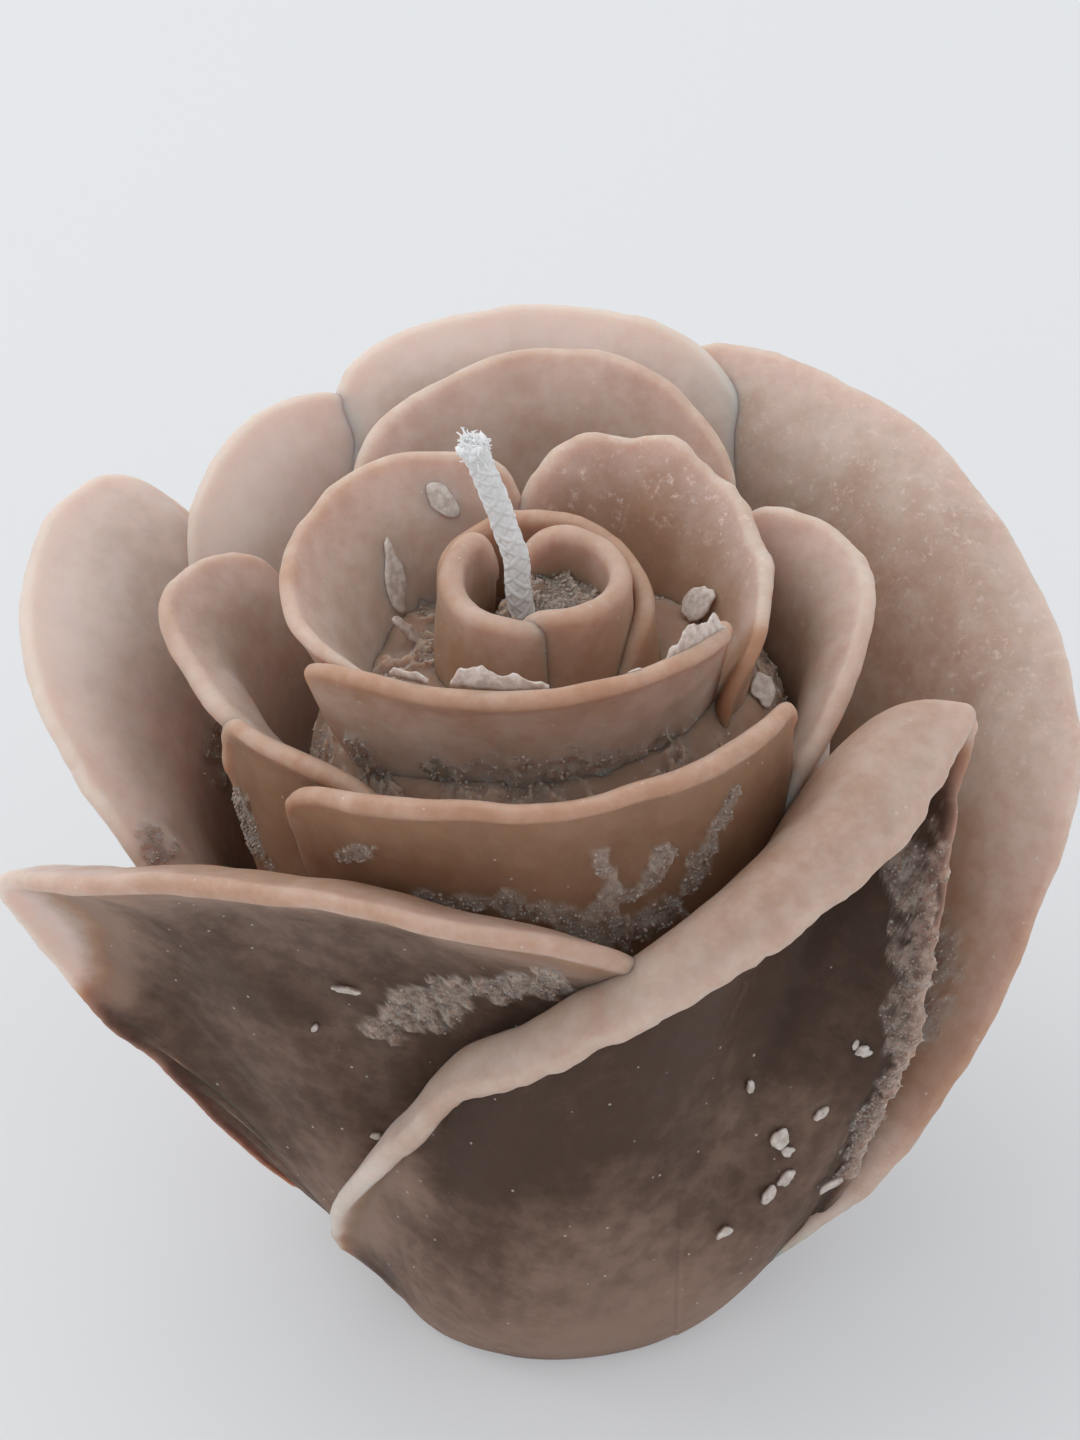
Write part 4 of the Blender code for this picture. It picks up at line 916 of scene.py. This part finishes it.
outer_front_right_wax = petal(
    "outer_front_right", "outer_petal_front_right", reach=38.8, height=70.17, wall=3.4,
    foot=(18.1, 0, 226, 328), belly=(40, 0.34), lip_share=0.26, seed=610,
    inside=(0.46, 16), outside=(0.0, 1.6, 0.34), crest=0.77, dusty_shade=1.0, lit=(-1, 0.66), thin_rim=0.68,
    waver=0.35, ragged=0.28, columns=360, seam=(11.6, 27),
    tears=[[(32.4, -14.5, 56.7, 2.6), (33.8, -16.5, 51, 2.2), (33.3, -19, 44, 1.8),
            (32.6, -19, 38, 1.5), (31.5, -18.4, 33.5, 1.3), (29.7, -17.6, 27.8, 1.3),
            (28.2, -16.9, 20.8, 1.2)]],
    painted_shading=[(-18.5, -17, 16, 6, 0.30), (-15, -23, 25, 5, 0.25), (23, -21, 28, 9, 0.12)],
    rim_shares=[
        (210, 0.62, 0.085, 45), (220, 0.69, 0.222, -10), (230, 0.725, 0.338, -32), (243, 0.77, 0.482, -42),
        (255, 0.812, 0.616, -44), (268, 0.885, 0.7, -48), (280, 0.935, 0.78, -48), (292, 0.975, 0.86, -48),
        (304, 1.0, 0.923, -42), (318, 1.0, 0.96, -34), (332, 0.985, 0.987, -25), (344, 0.99, 1.0, -5),
        (346, 0.98, 0.93, 20), (338, 0.98, 0.83, 35), (333, 0.985, 0.7, 42), (331, 0.96, 0.55, 45),
        (331, 0.89, 0.405, 45), (330, 0.8, 0.25, 45), (330, 0.69, 0.12, 45),
    ],
)
outer_right_wax = petal(
    "outer_right", "outer_petal_right", reach=48.5, height=75, wall=3.4,
    foot=(18.5, -0.5, 330, 424), belly=(36, 0.36), lip_share=0.28, seed=650,
    inside=(0.53, 20), outside=(0.12, 2), crest=0.84, dusty_shade=0.6, waver=0.40, ragged=0.12, columns=320,
    tears=[[(35, -9, 47, 2.2), (35.9, -8.5, 40, 1.8), (34, -12, 34, 1.5)]],
    painted_shading=[(35.5, -14.2, 29.9, 9, -0.2), (40.4, -8.6, 43.6, 9, -0.15)],
    frost=[(30, 30, 72, 14), (42, 22, 68, 12), (45, 10, 60, 10)],
    rim_shares=[
        (322, 0.485, 0.075, 30), (331, 0.65, 0.2, 5), (338, 0.79, 0.35, -12), (347, 0.9, 0.53, -20),
        (357, 0.98, 0.69, -22), (370, 1.0, 0.81, -18), (384, 0.975, 0.9, -8), (397, 0.965, 0.955, 8),
        (411, 0.95, 0.99, 24), (424, 0.955, 1.0, 38), (434, 0.975, 0.965, 48), (442, 0.97, 0.82, 55),
    ],
)
crumbs("outer_crumbs", [
    outer_front_left_wax, outer_front_right_wax, outer_right_wax, outer_left_wax,
], 2000, 0.24, 23)
flakes("outer_flakes", [
    (28.8, -18.8, 37.3, -0.16, -0.98, 0.12, 1.5, 1.1, 20),
    (27.9, -18.6, 38.0, -0.03, -1.00, 0.09, 1.6, 0.6, 75),
    (18.2, -21.0, 35.0, 0.62, -0.78, 0.08, 1.9, 0.9, 100),
    (21.3, -21.0, 28.6, 0.37, -0.92, 0.11, 1.9, 1.6, 60),
    (21.9, -20.9, 26.8, 0.40, -0.92, 0.08, 1.3, 1.0, 140),
    (21.8, -21.2, 23.6, 0.37, -0.93, 0.06, 1.8, 1.1, 40),
    (20.1, -22.0, 22.1, 0.39, -0.92, 0.02, 2.0, 1.3, 60),
    (16.0, -23.8, 19.0, 0.34, -0.94, 0.01, 1.5, 0.9, 30),
    (24.9, -19.6, 30.2, 0.40, -0.92, 0.01, 1.5, 1.0, 55),
    (26.4, -18.2, 20.1, 0.3, -0.95, -0.1, 2.2, 1.1, 40),
    (-16.8, -19.8, 27.7, -0.26, -0.96, -0.06, 0.9, 0.7, 10),
    (-22.2, -19.6, 40.9, -0.25, -0.96, -0.12, 0.9, 0.6, 50),
    (-19.2, -22.1, 47.6, -0.37, -0.89, -0.28, 3.4, 0.7, 8),
], 7)

# Table and light: a pale table top that runs on past the picture, soft light from a
# large lamp above and behind the left, and the camera of the photograph.


def lamp(name, place, aim, size, power, colour):
    """Square soft lamp at a place, turned to the point that it lights."""
    data = bpy.data.lights.new(name, "AREA")
    data.size = size
    data.energy = power
    data.color = colour
    light = bpy.data.objects.new(name, data)
    bpy.context.scene.collection.objects.link(light)
    light.location = place
    beam = mathutils.Vector(aim) - mathutils.Vector(place)
    light.rotation_euler = beam.to_track_quat("-Z", "Y").to_euler()


bpy.ops.mesh.primitive_plane_add(size=6)
table = bpy.context.object
table.name = "table"
paper = bpy.data.materials.new("paper")
paper.use_nodes = True
paper_nodes, paper_links = paper.node_tree.nodes, paper.node_tree.links
paper_nodes["Principled BSDF"].inputs["Base Color"].default_value = (0.79, 0.80, 0.81, 1)
paper_nodes["Principled BSDF"].inputs["Roughness"].default_value = 0.9
backdrop = paper_nodes.new("ShaderNodeEmission")
backdrop.inputs["Color"].default_value = (0.79, 0.805, 0.835, 1)
seen = paper_nodes.new("ShaderNodeMath")
seen.operation = "MULTIPLY"
seen.inputs[1].default_value = 0.35
paper_links.new(paper_nodes.new("ShaderNodeLightPath").outputs["Is Camera Ray"], seen.inputs[0])
surface = paper_nodes.new("ShaderNodeMixShader")
paper_links.new(seen.outputs[0], surface.inputs[0])
paper_links.new(paper_nodes["Principled BSDF"].outputs[0], surface.inputs[1])
paper_links.new(backdrop.outputs[0], surface.inputs[2])
paper_links.new(surface.outputs[0], paper_nodes["Material Output"].inputs["Surface"])
table.data.materials.append(paper)

TARGET = np.array([-1.4, 0.0, 61.8]) * MM
DISTANCE = 450 * MM
ELEVATION = math.radians(37)
camera_data = bpy.data.cameras.new("camera")
camera = bpy.data.objects.new("camera", camera_data)
bpy.context.scene.collection.objects.link(camera)
camera.location = TARGET + DISTANCE * np.array([0, -math.cos(ELEVATION), math.sin(ELEVATION)])
camera.rotation_euler = (math.pi / 2 - ELEVATION, 0, 0)
camera_data.lens = 120.95
camera_data.sensor_width = 36
camera_data.clip_start = 10 * MM
bpy.context.scene.camera = camera

lamp("softbox", (-0.45, 0.25, 0.85), (0, 0, 0.04), 0.9, 2.8, (1.0, 0.99, 0.98))

world = bpy.data.worlds.new("room")
bpy.context.scene.world = world
world.use_nodes = True
world.node_tree.nodes["Background"].inputs["Color"].default_value = (0.96, 0.98, 1.0, 1)
world.node_tree.nodes["Background"].inputs["Strength"].default_value = 0.80
bpy.context.scene.view_settings.view_transform = "Standard"
